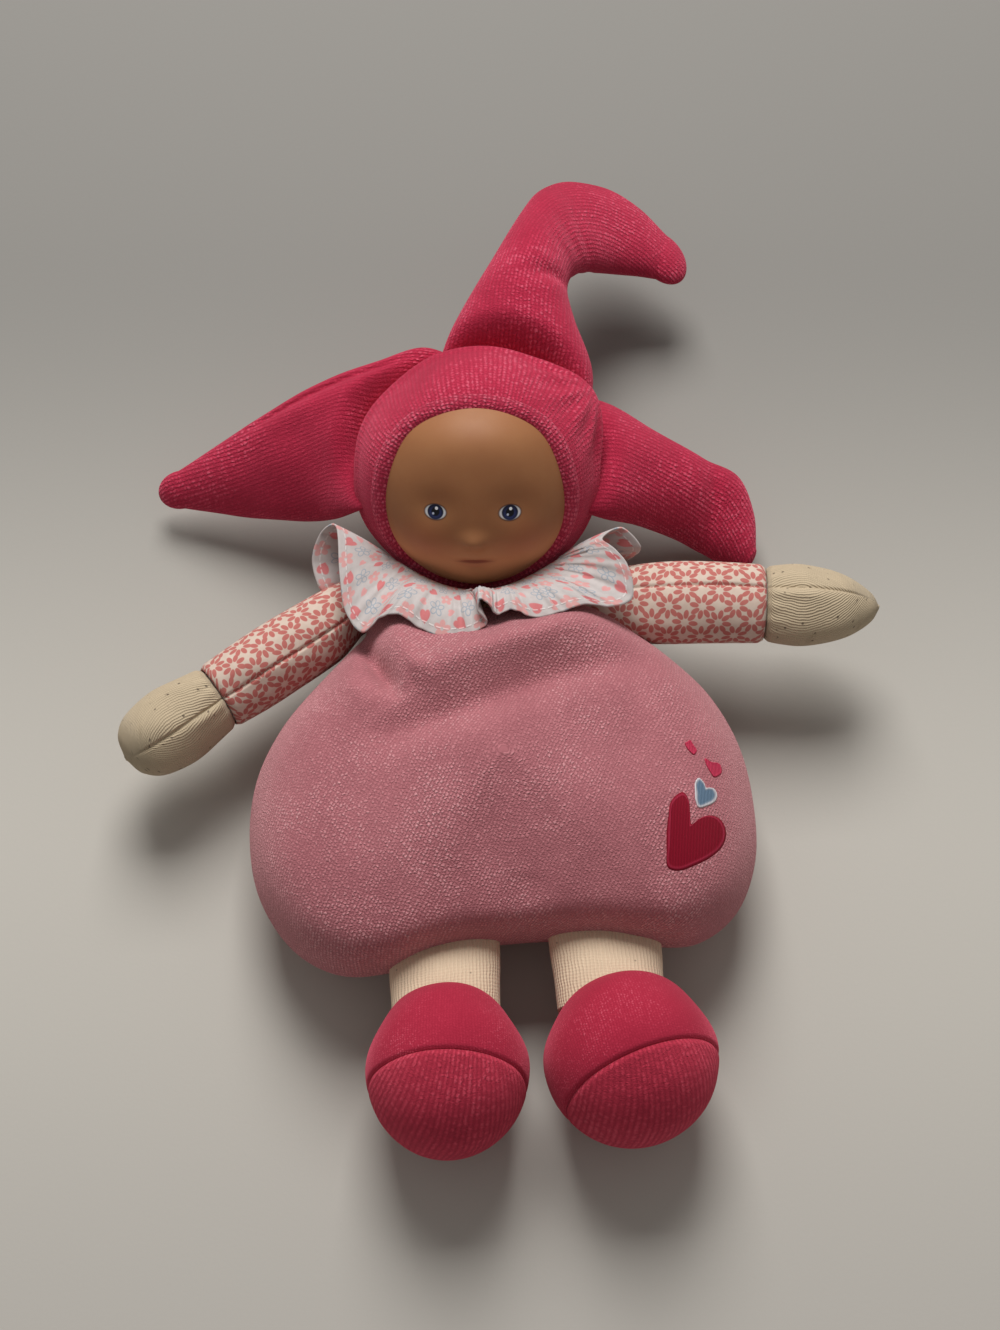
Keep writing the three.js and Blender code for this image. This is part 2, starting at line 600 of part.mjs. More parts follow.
function arm(name, { side, droop, rise, spread }) {
  const group = new THREE.Group();
  group.position.set(NECK_X + side * SHOULDER_HALF, BAG_TOP + SHOULDER_RISE, ARM_HEIGHT);
  doll.add(group);
  const whole = SLEEVE_LENGTH + HAND_LENGTH;
  const onward = vec(side * Math.cos(rad(droop)), -Math.sin(rad(droop)), 0);
  const square = vec(-onward.y * side, onward.x * side, 0);
  const at = (along) =>
    onward.clone().multiplyScalar(along).setZ(rise * Math.sin((Math.PI / 2) * Math.min(1, along / SLEEVE_LENGTH)));
  const ring = (along, width, thick, inset) => {
    const ease = Math.min(1, along / (SHOULDER_EASE * SLEEVE_LENGTH));
    const across = vec(0, 1, 0).lerp(square, ease).normalize();
    const flat = Math.max(thick * ARM_RADIUS / spread, COTTON + SEAM_SLIT);
    return oval(
      at(along),
      across.multiplyScalar(width * ARM_RADIUS * spread - inset),
      vec(0, 0, flat - inset),
      ARM_SIDES,
    );
  };
  const sleeveRings = (inset, from = 0) =>
    SLEEVE_SHAPE.slice(from).map(([share, width, thick]) =>
      ring(share * SLEEVE_LENGTH, width, thick, inset),
    );
  const handStart = SLEEVE_LENGTH + GAP;
  const handRings = (inset) =>
    HAND_SHAPE.map(([share, width, thick]) =>
      ring(handStart + share * (HAND_LENGTH - inset), width, thick, inset),
    );
  addPiece(group, name + "_sleeve", tube(sleeveRings(0), sleeveRings(COTTON)), PLAIN.creamCotton);
  addPiece(
    group,
    name + "_hand",
    cup(handRings(0), at(whole), handRings(JERSEY), at(whole - JERSEY)),
    PLAIN.ecruJersey,
  );
  const wadding = JERSEY + WADDING_GAP;
  addPiece(
    group,
    name + "_arm_filling",
    skin([...sleeveRings(wadding, 1), ...handRings(wadding), [at(whole - wadding)]]),
    PLAIN.wadding,
  );
}
arm("left", LEFT_ARM);
arm("right", RIGHT_ARM);

// Legs: a short jersey tube that starts flat at the bag's hem, in a round velour slipper.
const LEG_SIDES = 16;
const SLIPPER_SIDES = 20;
const LEG_ROOT_SAMPLES = 8;
const SLIPPER_RINGS = 5;
const FOOT_FILLING_RINGS = 6;
const LEG_BEND = { share: 0.25, thick: 0.22 };
const LEG_CALF = { share: 0.6, thick: 0.53 };

function hemAt(x) {
  const under = bagEdge.filter((p) => p.y < 0);
  const left = under.filter((p) => p.x <= x).sort((a, b) => b.x - a.x)[0];
  const right = under.filter((p) => p.x > x).sort((a, b) => a.x - b.x)[0];
  return mix(left.y, right.y, (x - left.x) / (right.x - left.x));
}

// The straight seam under the hem that a leg hangs from: its middle and its slope.
function legSeam(x) {
  const slope = (hemAt(x + LEG_HALF_WIDTH) - hemAt(x - LEG_HALF_WIDTH)) / (2 * LEG_HALF_WIDTH);
  const drops = steps(LEG_ROOT_SAMPLES).map((s) => {
    const off = mix(-LEG_HALF_WIDTH, LEG_HALF_WIDTH, s);
    return hemAt(x + off) - slope * off;
  });
  return { y: Math.min(...drops) - LEG_SEAM_GAP, angle: Math.atan(slope) };
}

function leg(name, { x, splay, soleTurn, soleLift }) {
  const group = new THREE.Group();
  const seamLine = legSeam(x);
  group.position.set(x, seamLine.y, SEAM_HEIGHT);
  group.rotation.z = rad(splay);
  const along = vec(Math.cos(seamLine.angle - rad(splay)), Math.sin(seamLine.angle - rad(splay)), 0);
  doll.add(group);
  const sewn = JERSEY + SEAM_SLIT;
  const shape = [
    [0, LEG_HALF_WIDTH, sewn],
    [LEG_BEND.share * LEG_LENGTH, LEG_HALF_WIDTH, LEG_BEND.thick * LEG_RADIUS],
    [LEG_CALF.share * LEG_LENGTH, LEG_RADIUS, LEG_CALF.thick * LEG_RADIUS],
    [LEG_LENGTH + SLIPPER_TUCK, LEG_RADIUS, LEG_RADIUS],
  ];
  const rings = (inset, from = 0) =>
    shape.slice(from).map(([down, width, thick]) => {
      const across = along.clone().lerp(vec(1, 0, 0), Math.min(1, down / LEG_LENGTH)).normalize();
      return oval(
        vec(0, -down, 0),
        across.multiplyScalar(width - inset),
        vec(0, 0, thick - inset),
        LEG_SIDES,
      );
    });
  addPiece(group, name + "_leg", tube(rings(0), rings(JERSEY)), PLAIN.ribJersey);

  const foot = vec(0, -SLIPPER_REACH, SLIPPER_RADIUS - SEAM_HEIGHT);
  const lean = new THREE.Quaternion().setFromEuler(
    new THREE.Euler(rad(90 - soleLift), 0, rad(soleTurn), "ZYX"),
  );
  const ball = (inset, polar) =>
    ballRing(polar, even(1), SLIPPER_SIDES).map((p) =>
      p
        .applyQuaternion(lean)
        .multiply(vec(SLIPPER_HALF_WIDTH - inset, SLIPPER_RADIUS - inset, SLIPPER_RADIUS - inset))
        .add(foot),
    );
  const shell = (from, to) => {
    const polars = polarSteps(from, to, SLIPPER_RINGS).slice(0, -1);
    const pole = (inset) => ball(inset, rad(to))[0];
    return cup(
      polars.map((p) => ball(0, p)),
      pole(0),
      polars.map((p) => ball(VELOUR, p)),
      pole(VELOUR),
    );
  };
  const seam = THREE.MathUtils.radToDeg(GAP / 2 / (SLIPPER_HALF_WIDTH - VELOUR));
  const ankle = new THREE.CylinderGeometry(LEG_RADIUS + GAP, LEG_RADIUS + GAP, SLIPPER_REACH, LEG_SIDES * 2);
  addPiece(group, name + "_slipper_sole", shell(SLIPPER_SEAM - seam, 0), PLAIN.raspberry);
  addPiece(group, name + "_slipper_upper", cut(shell(SLIPPER_SEAM + seam, 180), closed(ankle)), PLAIN.raspberry);

  const room = VELOUR + WADDING_GAP;
  const ballRings = steps(FOOT_FILLING_RINGS).slice(0, -1).map((s) => {
    const down = mix(LEG_LENGTH + SLIPPER_TUCK + GAP, SLIPPER_REACH + SLIPPER_RADIUS - room, s);
    const width = Math.sqrt(1 - ((down - SLIPPER_REACH) / (SLIPPER_RADIUS - room)) ** 2);
    const centre = vec(0, -down, foot.z);
    return oval(
      centre,
      vec(width * (SLIPPER_HALF_WIDTH - room), 0, 0),
      vec(0, 0, width * (SLIPPER_RADIUS - room)),
      LEG_SIDES,
    );
  });
  const toe = vec(0, -(SLIPPER_REACH + SLIPPER_RADIUS - room), foot.z);
  addPiece(
    group,
    name + "_leg_filling",
    skin([...rings(JERSEY + WADDING_GAP, 1), ...ballRings, [toe]]),
    PLAIN.wadding,
  );
}
leg("left", LEFT_LEG);
leg("right", RIGHT_LEG);

export default doll;
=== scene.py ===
# %% [markdown]
# # A soft baby doll in a three-pointed hood
# The doll lies on its back with its limbs spread. The imported model is loaded first, as a fixed frame:
# it has the bodies, the joints and the plain solids. Every visible piece is then worked out again here
# as a fine surface and put in the place of its solid. Most pieces ride on the same body as their solid;
# the hood's points, the sleeves, the legs and the collar's wings are left where they are built.

# %% Load the imported model
import json
import math

import bpy
import numpy as np
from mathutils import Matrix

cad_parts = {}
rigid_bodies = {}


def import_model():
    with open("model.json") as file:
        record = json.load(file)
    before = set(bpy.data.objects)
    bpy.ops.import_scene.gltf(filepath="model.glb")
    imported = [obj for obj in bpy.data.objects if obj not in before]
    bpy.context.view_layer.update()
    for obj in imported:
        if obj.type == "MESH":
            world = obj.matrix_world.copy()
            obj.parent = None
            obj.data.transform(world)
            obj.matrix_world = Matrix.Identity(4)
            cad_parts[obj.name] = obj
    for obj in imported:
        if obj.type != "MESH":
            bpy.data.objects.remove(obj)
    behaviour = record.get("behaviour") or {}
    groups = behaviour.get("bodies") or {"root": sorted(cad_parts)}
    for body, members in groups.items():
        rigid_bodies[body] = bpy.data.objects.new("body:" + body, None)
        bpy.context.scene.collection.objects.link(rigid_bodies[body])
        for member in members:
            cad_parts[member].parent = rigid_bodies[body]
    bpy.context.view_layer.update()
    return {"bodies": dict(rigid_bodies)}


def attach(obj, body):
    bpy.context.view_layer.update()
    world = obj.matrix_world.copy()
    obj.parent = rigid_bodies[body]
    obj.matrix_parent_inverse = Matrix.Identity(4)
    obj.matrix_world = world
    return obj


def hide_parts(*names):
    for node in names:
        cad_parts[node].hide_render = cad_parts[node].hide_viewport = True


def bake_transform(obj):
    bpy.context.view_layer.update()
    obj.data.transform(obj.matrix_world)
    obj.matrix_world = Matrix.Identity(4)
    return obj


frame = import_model()
MM = 0.001
print("bodies:", ", ".join(frame["bodies"]))

# %% [markdown]
# ## Camera
# The photograph was taken from above, with the camera tipped a little towards the feet. A camera can be
# placed by eye or worked out: here the tilt comes from how the round head and the slippers are seen, and
# the distance from how much larger the near things look. It looks at one point in the middle of the doll.

# %% Place the camera
CAMERA_TILT = math.radians(22)
CAMERA_DISTANCE = 0.6
CAMERA_TARGET = np.array([-0.001, 0.0395, 0.025])
CAMERA_LENS = 56.0
SENSOR_WIDTH = 36.0

camera_data = bpy.data.cameras.new("camera")
camera_data.lens = CAMERA_LENS
camera_data.sensor_width = SENSOR_WIDTH
camera = bpy.data.objects.new("camera", camera_data)
camera_back = np.array([0.0, -math.sin(CAMERA_TILT), math.cos(CAMERA_TILT)])
camera.location = CAMERA_TARGET + CAMERA_DISTANCE * camera_back
camera.rotation_euler = (CAMERA_TILT, 0, 0)
bpy.context.collection.objects.link(camera)
bpy.context.scene.camera = camera
print("camera at", [round(c, 3) for c in camera.location])

# %% [markdown]
# ## Light
# The room is lit by one big window beyond the doll's head, a little to the left, so tops are bright and
# the undersides fall into a soft shade. A sun lamp would cut hard shadows, so a wide area lamp stands
# in for the window, and an even pale world fills the shade. Both are set so that a colour renders about
# as written.

# %% Window and room light
WINDOW_DISTANCE = 1.3
WINDOW_SIZE = 0.65
WINDOW_HEIGHT = math.radians(50)
WINDOW_LEFT = math.radians(4)
WINDOW_POWER = 18.2
ROOM_LIGHT = 0.26
ROOM_COLOUR = (1.0, 0.985, 0.96, 1.0)

bpy.context.scene.view_settings.view_transform = "Standard"
window = bpy.data.lights.new("window", "AREA")
window.size = WINDOW_SIZE
window.energy = WINDOW_POWER
window_lamp = bpy.data.objects.new("window", window)
window_side = math.cos(WINDOW_HEIGHT) * WINDOW_DISTANCE
window_lamp.location = (
    CAMERA_TARGET[0] - window_side * math.sin(WINDOW_LEFT),
    CAMERA_TARGET[1] + window_side * math.cos(WINDOW_LEFT),
    math.sin(WINDOW_HEIGHT) * WINDOW_DISTANCE,
)
window_lamp.rotation_euler = (math.pi / 2 - WINDOW_HEIGHT, 0, math.pi + WINDOW_LEFT)
bpy.context.collection.objects.link(window_lamp)
room = bpy.data.worlds.new("room")
room.use_nodes = True
room_light = room.node_tree.nodes["Background"]
room_light.inputs["Color"].default_value = ROOM_COLOUR
room_light.inputs["Strength"].default_value = ROOM_LIGHT
bpy.context.scene.world = room
print("window at", [round(c, 2) for c in window_lamp.location])

# %% [markdown]
# ## Building with grids
# Every piece of the doll is cloth or vinyl whose surface two numbers can walk over: one along it and one
# round it. So each piece is a grid of points from a formula, turned into quads in one go. Curves drawn by
# hand could do the same, but a formula keeps the seams of neighbouring pieces exactly together.

# %% Curves through measured points
CURVE_STEPS = 2001
LUMP_WAVES = 5


def spline(points, t, closed=False):
    """Points of a smooth curve through the given ones. Each span is the cubic that leaves and meets its
    two ends with slopes weighted by the square roots of the chords, and t from 0 to 1 gives each span
    an equal share."""
    given = np.asarray(points, float)
    before = given[-1:] if closed else 2 * given[:1] - given[1:2]
    after = given[:2] if closed else 2 * given[-1:] - given[-2:-1]
    row = np.concatenate([before, given, after])
    spans = len(row) - 3
    place = np.clip(np.asarray(t, float), 0, 1) * spans
    span = np.minimum(place.astype(int), spans - 1)
    f = (place - span)[..., None]
    p0, p1, p2, p3 = row[span], row[span + 1], row[span + 2], row[span + 3]
    d0 = np.sqrt(np.linalg.norm(p1 - p0, axis=-1, keepdims=True))
    d1 = np.sqrt(np.linalg.norm(p2 - p1, axis=-1, keepdims=True))
    d2 = np.sqrt(np.linalg.norm(p3 - p2, axis=-1, keepdims=True))
    leave = ((p1 - p0) / d0 - (p2 - p0) / (d0 + d1) + (p2 - p1) / d1) * d1
    meet = ((p2 - p1) / d1 - (p3 - p1) / (d1 + d2) + (p3 - p2) / d2) * d1
    square = 3 * (p2 - p1) - 2 * leave - meet
    cube = 2 * (p1 - p2) + leave + meet
    return p1 + leave * f + square * f**2 + cube * f**3


def even_path(points, count, closed=False):
    """The same curve walked in equal steps: its fine points are measured along and read at equal
    lengths."""
    fine = spline(points, np.linspace(0, 1, CURVE_STEPS), closed)
    run = np.concatenate([[0], np.cumsum(np.linalg.norm(np.diff(fine, axis=0), axis=1))])
    at = np.linspace(0, run[-1], count, endpoint=not closed)
    return np.stack([np.interp(at, run, column) for column in fine.T], axis=-1)


def graded(table, at):
    """Values that change smoothly with a place: a curve through the table's rows, read at the places."""
    curve = spline(table, np.linspace(0, 1, CURVE_STEPS))
    return [np.interp(at, curve[:, 0], column) for column in curve.T[1:]]


def bell(distance, width):
    """A smooth bump of height one that has fallen to about a third at the given width."""
    return np.exp(-((distance / width) ** 2))


def ease(value, low, high):
    """Nought below low, one above high, and a smooth step between them."""
    share = np.clip((value - low) / (high - low), 0, 1)
    return share * share * (3 - 2 * share)


def lumps(points, size, seed):
    """Soft unevenness between about -1 and 1: waves about size mm long in a few fixed directions,
    summed."""
    draw = np.random.default_rng(seed)
    waves = draw.normal(size=(LUMP_WAVES, points.shape[-1]))
    waves *= 2 * np.pi / (size * np.linalg.norm(waves, axis=1, keepdims=True))
    phases = draw.uniform(0, 2 * np.pi, LUMP_WAVES)
    return np.sin(points @ waves.T + phases).mean(axis=-1) * np.sqrt(2)


print("a curve is read in", CURVE_STEPS, "steps")


# %% Grids into meshes
def lengths(points, axis):
    """How far each grid point lies along its line, measured on the surface from the line's first
    point."""
    steps = np.linalg.norm(np.diff(points, axis=axis), axis=-1)
    run = np.cumsum(steps, axis=axis)
    start = np.zeros_like(np.take(run, [0], axis=axis))
    return np.concatenate([start, run], axis=axis)


def cloth_map(points, wrap=True):
    """Cloth coordinates of a grid in mm: across is measured round each row from its middle column, and
    along is the mean length of the columns, so a pattern keeps its size everywhere."""
    full = np.concatenate([points, points[:, :1]], axis=1) if wrap else points
    across = lengths(full, 1)
    middle = across[:, [across.shape[1] // 2]]
    along = np.broadcast_to(lengths(full, 0).mean(axis=1, keepdims=True), across.shape)
    return np.stack([across - middle, along], axis=-1)


def grid_piece(name, points, cloth=None, wrap=True, loop=False, caps=(False, False), marks=None):
    """A mesh from rows and columns of points in mm. wrap joins the last column to the first, loop joins
    the last row to the first, and a cap closes an end row with a point at its middle. cloth gives the
    coordinates that patterns follow, one column more than the points where they wrap, and marks names
    numbers to keep at the points. The faces are turned outwards by the sign of the volume they
    enclose."""
    rows, columns = points.shape[:2]
    cloth = cloth_map(points, wrap) if cloth is None else cloth
    index = np.arange(rows * columns).reshape(rows, columns)
    if wrap:
        index = np.concatenate([index, index[:, :1]], axis=1)
    if loop:
        index = np.concatenate([index, index[:1]], axis=0)
        cloth = np.concatenate([cloth, cloth[:1]], axis=0)

    def quads(a):
        """The four corners of every cell of a grid, in order round the cell."""
        corners = [a[:-1, :-1], a[:-1, 1:], a[1:, 1:], a[1:, :-1]]
        return np.stack(corners, axis=2).reshape(-1, 4, *a.shape[2:])

    vertices = [points.reshape(-1, 3)]
    faces = quads(index)
    corners = [faces.reshape(-1, 4)]
    maps = [quads(cloth).reshape(-1, 2)]
    loose = []
    for end, line in ((0, index[0]), (1, index[-1])):
        if not caps[end]:
            continue
        row = cloth[0] if end == 0 else cloth[-1]
        pole = np.full(len(line) - 1, rows * columns + len(loose))
        pair = (line[1:], line[:-1]) if end == 0 else (line[:-1], line[1:])
        shown = (row[1:], row[:-1]) if end == 0 else (row[:-1], row[1:])
        loose.append(points[0 if end == 0 else -1].mean(axis=0))
        corners.append(np.stack([pole, *pair], axis=1))
        maps.append(np.stack([(row[1:] + row[:-1]) / 2, *shown], axis=1).reshape(-1, 2))
    if loose:
        vertices.append(np.array(loose))
    spots = np.concatenate(vertices)
    centre = spots.mean(axis=0)
    a, b, c = (spots[faces[:, k]] - centre for k in (0, 1, 2))
    inside_out = np.einsum("ij,ij->i", a, np.cross(b, c)).sum() < 0
    polygons = [face for block in corners for face in block.tolist()]
    flat = np.concatenate(maps)
    mesh = bpy.data.meshes.new(name)
    mesh.from_pydata((spots * MM).tolist(), [], polygons)
    mesh.polygons.foreach_set("use_smooth", np.ones(len(polygons), bool))
    layer = mesh.uv_layers.new(name="cloth")
    layer.data.foreach_set("uv", (flat * MM).astype(np.float32).ravel())
    for mark, values in (marks or {}).items():
        kept = mesh.attributes.new(mark, "FLOAT", "POINT")
        poles = np.zeros(len(loose))
        kept.data.foreach_set("value", np.concatenate([values.ravel(), poles]).astype(np.float32))
    if inside_out:
        mesh.flip_normals()
    mesh.update()
    piece = bpy.data.objects.new(name, mesh)
    bpy.context.collection.objects.link(piece)
    print(name, len(polygons), "faces")
    return piece


def thicken(piece, thickness):
    """Gives an open surface the thickness of its cloth, inwards."""
    wall = piece.modifiers.new("cloth thickness", "SOLIDIFY")
    wall.thickness = thickness * MM
    wall.offset = -1


def dress(piece, finish, nodes, body=None):
    """Gives a piece its finish, hides the solids it stands for, and puts it on the body it rides on,
    if one is given."""
    piece.data.materials.append(finish)
    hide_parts(*nodes)
    if body:
        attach(piece, body)


# %% [markdown]
# ## Finishes
# A finish is a small network of nodes. A photograph of the cloth could be wrapped on instead, but a
# formula has no edge and stays sharp at any size. The patterns read the cloth map of each piece, in
# real metres, so a nub of the pile or a daisy of the print has the same size on every piece.


# %% A short way to write nodes
PER_MM = 1000.0
SCREEN_FULL = 255
SCREEN_KNEE = 0.04045
SCREEN_SLOPE = 12.92
SCREEN_LIFT = 0.055
SCREEN_POWER = 2.4


def shade(red, green, blue):
    """The linear colour for a shader, from a screen colour of 0 to 255: a straight start, then a
    power."""
    screen = np.array([red, green, blue]) / SCREEN_FULL
    curved = ((screen + SCREEN_LIFT) / (1 + SCREEN_LIFT)) ** SCREEN_POWER
    linear = np.where(screen <= SCREEN_KNEE, screen / SCREEN_SLOPE, curved)
    return (*linear.tolist(), 1.0)


class Finish:
    """A material under way. add() makes a node, sets or joins its sockets, and gives back one output."""

    def __init__(self, name, skin):
        """Starts a material whose shader has the given values, and reads the cloth map."""
        self.material = bpy.data.materials.new(name)
        self.material.use_nodes = True
        self.tree = self.material.node_tree
        self.skin = self.tree.nodes["Principled BSDF"]
        for socket, value in skin.items():
            self.join(self.skin.inputs[socket], value)
        self.cloth = self.add("UVMap", uv_map="cloth")

    def join(self, socket, value):
        """Links another node's output to the socket, or sets the socket to a plain value."""
        if isinstance(value, bpy.types.NodeSocket):
            self.tree.links.new(value, socket)
        else:
            socket.default_value = value

    def add(self, kind, inputs=None, output=0, **settings):
        """A new node of that kind with its settings and inputs; gives back one of its outputs."""
        node = self.tree.nodes.new("ShaderNode" + kind)
        for setting, value in settings.items():
            setattr(node, setting, value)
        for socket, value in (inputs or {}).items():
            self.join(node.inputs[socket], value)
        return node.outputs[output]

    def sum(self, operation, *values):
        """One step of arithmetic on numbers."""
        return self.add("Math", dict(enumerate(values)), operation=operation)

    def vector(self, operation, *values):
        """One step of arithmetic on vectors."""
        return self.add("VectorMath", dict(enumerate(values)), operation=operation)

    def step(self, value, low, high, first=0.0, last=1.0):
        """First below low, last above high, with a smooth step between them."""
        inputs = {0: value, 1: low, 2: high, 3: first, 4: last}
        return self.add("MapRange", inputs, interpolation_type="SMOOTHSTEP")

    def paint(self, share, under, over):
        """The under colour where share is nought and the over colour where it is one."""
        return self.add("Mix", {0: share, 6: under, 7: over}, 2, data_type="RGBA")

    def millimetres(self):
        """The cloth map of the piece, in mm."""
        mm = self.vector("SCALE", self.cloth)
        mm.node.inputs["Scale"].default_value = PER_MM
        return mm

    def noise(self, vector, scale, detail=2.0):
        """Soft noise from 0 to 1."""
        return self.add("TexNoise", {"Vector": vector, "Scale": scale, "Detail": detail})

    def split(self, vector):
        """The first two coordinates of a vector."""
        made = self.add("SeparateXYZ", {0: vector})
        return made, made.node.outputs[1]

    def oval(self, x, y, centre, radii, soft):
        """One inside an ellipse and nought outside, with an edge that is soft by that share of its
        size."""
        across = self.sum("DIVIDE", self.sum("SUBTRACT", x, centre[0]), radii[0])
        up = self.sum("DIVIDE", self.sum("SUBTRACT", y, centre[1]), radii[1])
        away = self.sum("SQRT", self.sum("ADD", self.sum("POWER", across, 2.0), self.sum("POWER", up, 2.0)))
        return self.step(away, 1 - soft, 1 + soft, 1.0, 0.0)

    def close(self, colour, height, depth):
        """Joins the colour and a relief of that depth in mm to the shader, and gives the material."""
        self.join(self.skin.inputs["Base Color"], colour)
        bump = self.add("Bump", {"Strength": 1.0, "Distance": depth * MM, "Height": height})
        self.join(self.skin.inputs["Normal"], bump)
        return self.material


print("patterns are drawn in mm, at", PER_MM, "to the metre")

# %% [markdown]
# ### Velour
# Velour is a knit with a cut pile. Close up, the pile stands in rows of small tufts, brighter on their
# tips than between them, and it looks paler where it has been brushed one way. Real hairs would be far
# too many, so a tuft is a soft disc in its own cell of a row, each row starts where chance puts it, and
# slow noises bend the rows, press the pile flat in places and brush it. The darker colour between the
# tufts is painted shade, and the pale colour on the tallest tips is a painted sheen. The soles show
# plainer rows than the rest, so they get wider ones.

# %% Velour finish
SWEEP_SCALE = 55.0
SWEEP_SHARE = 0.4
PRESS_SCALE = 38.0
PRESS_RANGE = (0.38, 0.62)
FIBRE_SCALE = 2.6
FIBRE_SHARE = 0.8
DRIFT_SCALE = 0.045
ROW_DRIFT = 2.5
SHAKE_SCALE = 1.1
TUFT_SHAKE = 1.0
TUFT_REACH = 0.66
TALL_SPREAD = 0.8
TALL_LEAST = 0.4
# the tallest pile gets a painted sheen in the tip colour
SHEEN_TIP_RANGE = (0.72, 1.25)
SHEEN_TIP_SHARE = 0.6
MIDDLE = (0.5, 0.5, 0.5)


def velour(name, deep_shade, light, tip, tuft, ribs, depth, slant=0.0, nap=(0.3, 0.7)):
    """Tufts of the given width and length in mm. The row is the whole part of the way across and its
    start is drawn by chance, and a tuft is bright near the middle of its cell, by its own chance more
    or less. ribs from 0 to 1 runs the tufts of a row together, and nap is how much they show where the
    pile is pressed and where it is not. The pile's height mixes the darker colour, a painted shade
    between the tufts, with the light colour, and the tallest pile gets the tip colour as a painted
    sheen."""
    f = Finish(name, {"Roughness": 0.93, "Sheen Weight": 0.9, "Sheen Roughness": 0.45,
                      "Sheen Tint": tip, "Specular IOR Level": 0.1})
    mm = f.millimetres()
    slow = f.add("TexNoise", {"Vector": mm, "Scale": DRIFT_SCALE, "Detail": 1.0}, 1)
    drift = f.vector("SUBTRACT", slow, MIDDLE)
    quick = f.add("TexNoise", {"Vector": mm, "Scale": SHAKE_SCALE, "Detail": 1.0}, 1)
    shake = f.vector("SUBTRACT", quick, MIDDLE)
    bent = f.vector("MULTIPLY_ADD", drift, (ROW_DRIFT,) * 3, mm)
    bent = f.vector("MULTIPLY_ADD", shake, (TUFT_SHAKE,) * 3, bent)
    turned = f.add("VectorRotate", {"Vector": bent, "Angle": slant}, rotation_type="Z_AXIS")
    x, y = f.split(f.vector("DIVIDE", turned, (*tuft, 1.0)))
    start = f.add("TexWhiteNoise", {"W": f.sum("FLOOR", x)}, noise_dimensions="1D")
    side = f.sum("SUBTRACT", f.sum("FRACT", x), 0.5)
    place = f.sum("ADD", y, start)
    end = f.sum("MULTIPLY", f.sum("SUBTRACT", f.sum("FRACT", place), 0.5), 1 - ribs)
    away = f.sum("SQRT", f.sum("ADD", f.sum("POWER", side, 2.0), f.sum("POWER", end, 2.0)))
    own = f.add("CombineXYZ", {0: f.sum("FLOOR", x), 1: f.sum("FLOOR", place)})
    chance = f.add("TexWhiteNoise", {"Vector": own}, noise_dimensions="2D")
    tall = f.sum("MULTIPLY_ADD", chance, TALL_SPREAD, TALL_LEAST)
    tufts = f.sum("MULTIPLY", f.step(away, 0.0, TUFT_REACH, 1.0, 0.0), tall)
    fibre = f.noise(mm, FIBRE_SCALE, detail=4.0)
    spot = f.add("TexCoord", output=3)
    pressed = f.step(f.noise(spot, PRESS_SCALE, detail=2.0), *PRESS_RANGE, *nap)
    pile = f.sum("MULTIPLY_ADD", tufts, pressed, f.sum("MULTIPLY", fibre, FIBRE_SHARE))
    brushed = f.sum("SUBTRACT", f.noise(spot, SWEEP_SCALE, detail=2.0), 0.5)
    share = f.sum("MULTIPLY_ADD", brushed, SWEEP_SHARE, pile)
    # painted shade: the low pile between the tufts takes the darker colour
    colour = f.paint(share, deep_shade, light)
    # painted sheen: the tallest pile tips turn to the pale tip colour
    colour = f.paint(f.step(share, *SHEEN_TIP_RANGE, 0.0, SHEEN_TIP_SHARE), colour, tip)
    return f.close(colour, pile, depth)


raspberry_velour = velour(
    "raspberry_velour", deep_shade=shade(132, 20, 42), light=shade(206, 54, 84), tip=shade(230, 114, 136),
    tuft=(1.3, 1.2), ribs=0.35, depth=0.5, nap=(0.3, 0.72),
)
brim_velour = velour(
    "brim_velour", deep_shade=shade(110, 18, 38), light=shade(204, 58, 86), tip=shade(230, 120, 140),
    tuft=(1.25, 1.2), ribs=0.2, depth=0.55, nap=(0.75, 0.95),
)
slipper_velour = velour(
    "slipper_velour", deep_shade=shade(142, 26, 48), light=shade(184, 50, 73), tip=shade(210, 100, 118),
    tuft=(0.8, 0.8), ribs=0.2, depth=0.14,
)
sole_velour = velour(
    "slipper_sole_velour", deep_shade=shade(124, 26, 44), light=shade(206, 62, 84), tip=shade(212, 92, 110),
    tuft=(1.6, 1.1), ribs=0.6, depth=0.45, slant=0.25, nap=(0.5, 0.75),
)
pink_velour = velour(
    "pink_velour", deep_shade=shade(128, 66, 74), light=shade(206, 132, 138), tip=shade(232, 178, 180),
    tuft=(0.95, 1.05), ribs=0.2, depth=0.45, slant=0.45, nap=(0.38, 0.7),
)
velours = (raspberry_velour, brim_velour, slipper_velour, sole_velour, pink_velour)
print("velours:", ", ".join(made.name for made in velours))

# %% [markdown]
# ### Printed cottons
# The sleeves are a cream cotton printed all over with round salmon daisies, and the collar is white
# with small hearts, blossoms and blue sprigs. Motifs could be modelled as thin shapes, but ink has no
# thickness. So each motif is a formula in the cells of a staggered lattice: a petal is an ellipse
# repeated round a centre.


# %% Motifs of a print
INK_SOFT = 0.12
OPEN_SOFT = 0.15
HEART_NOTCH = 0.75


def motif_cell(f, mm, period, shift, swing):
    """Place within a lattice cell in mm, counted from its centre. Each cell is turned by its own share
    of the swing."""
    moved = f.vector("ADD", f.vector("DIVIDE", mm, (period[0], period[1], 1.0)), (shift[0], shift[1], 0.0))
    inside = f.vector("SUBTRACT", f.vector("FRACTION", moved), (0.5, 0.5, 0.0))
    local = f.vector("MULTIPLY", inside, (period[0], period[1], 0.0))
    chance = f.add("TexWhiteNoise", {"Vector": f.vector("FLOOR", moved)}, noise_dimensions="2D")
    angle = f.sum("MULTIPLY", f.sum("SUBTRACT", chance, 0.5), swing)
    turned = f.add("VectorRotate", {"Vector": local, "Angle": angle}, rotation_type="Z_AXIS")
    return f.split(turned)


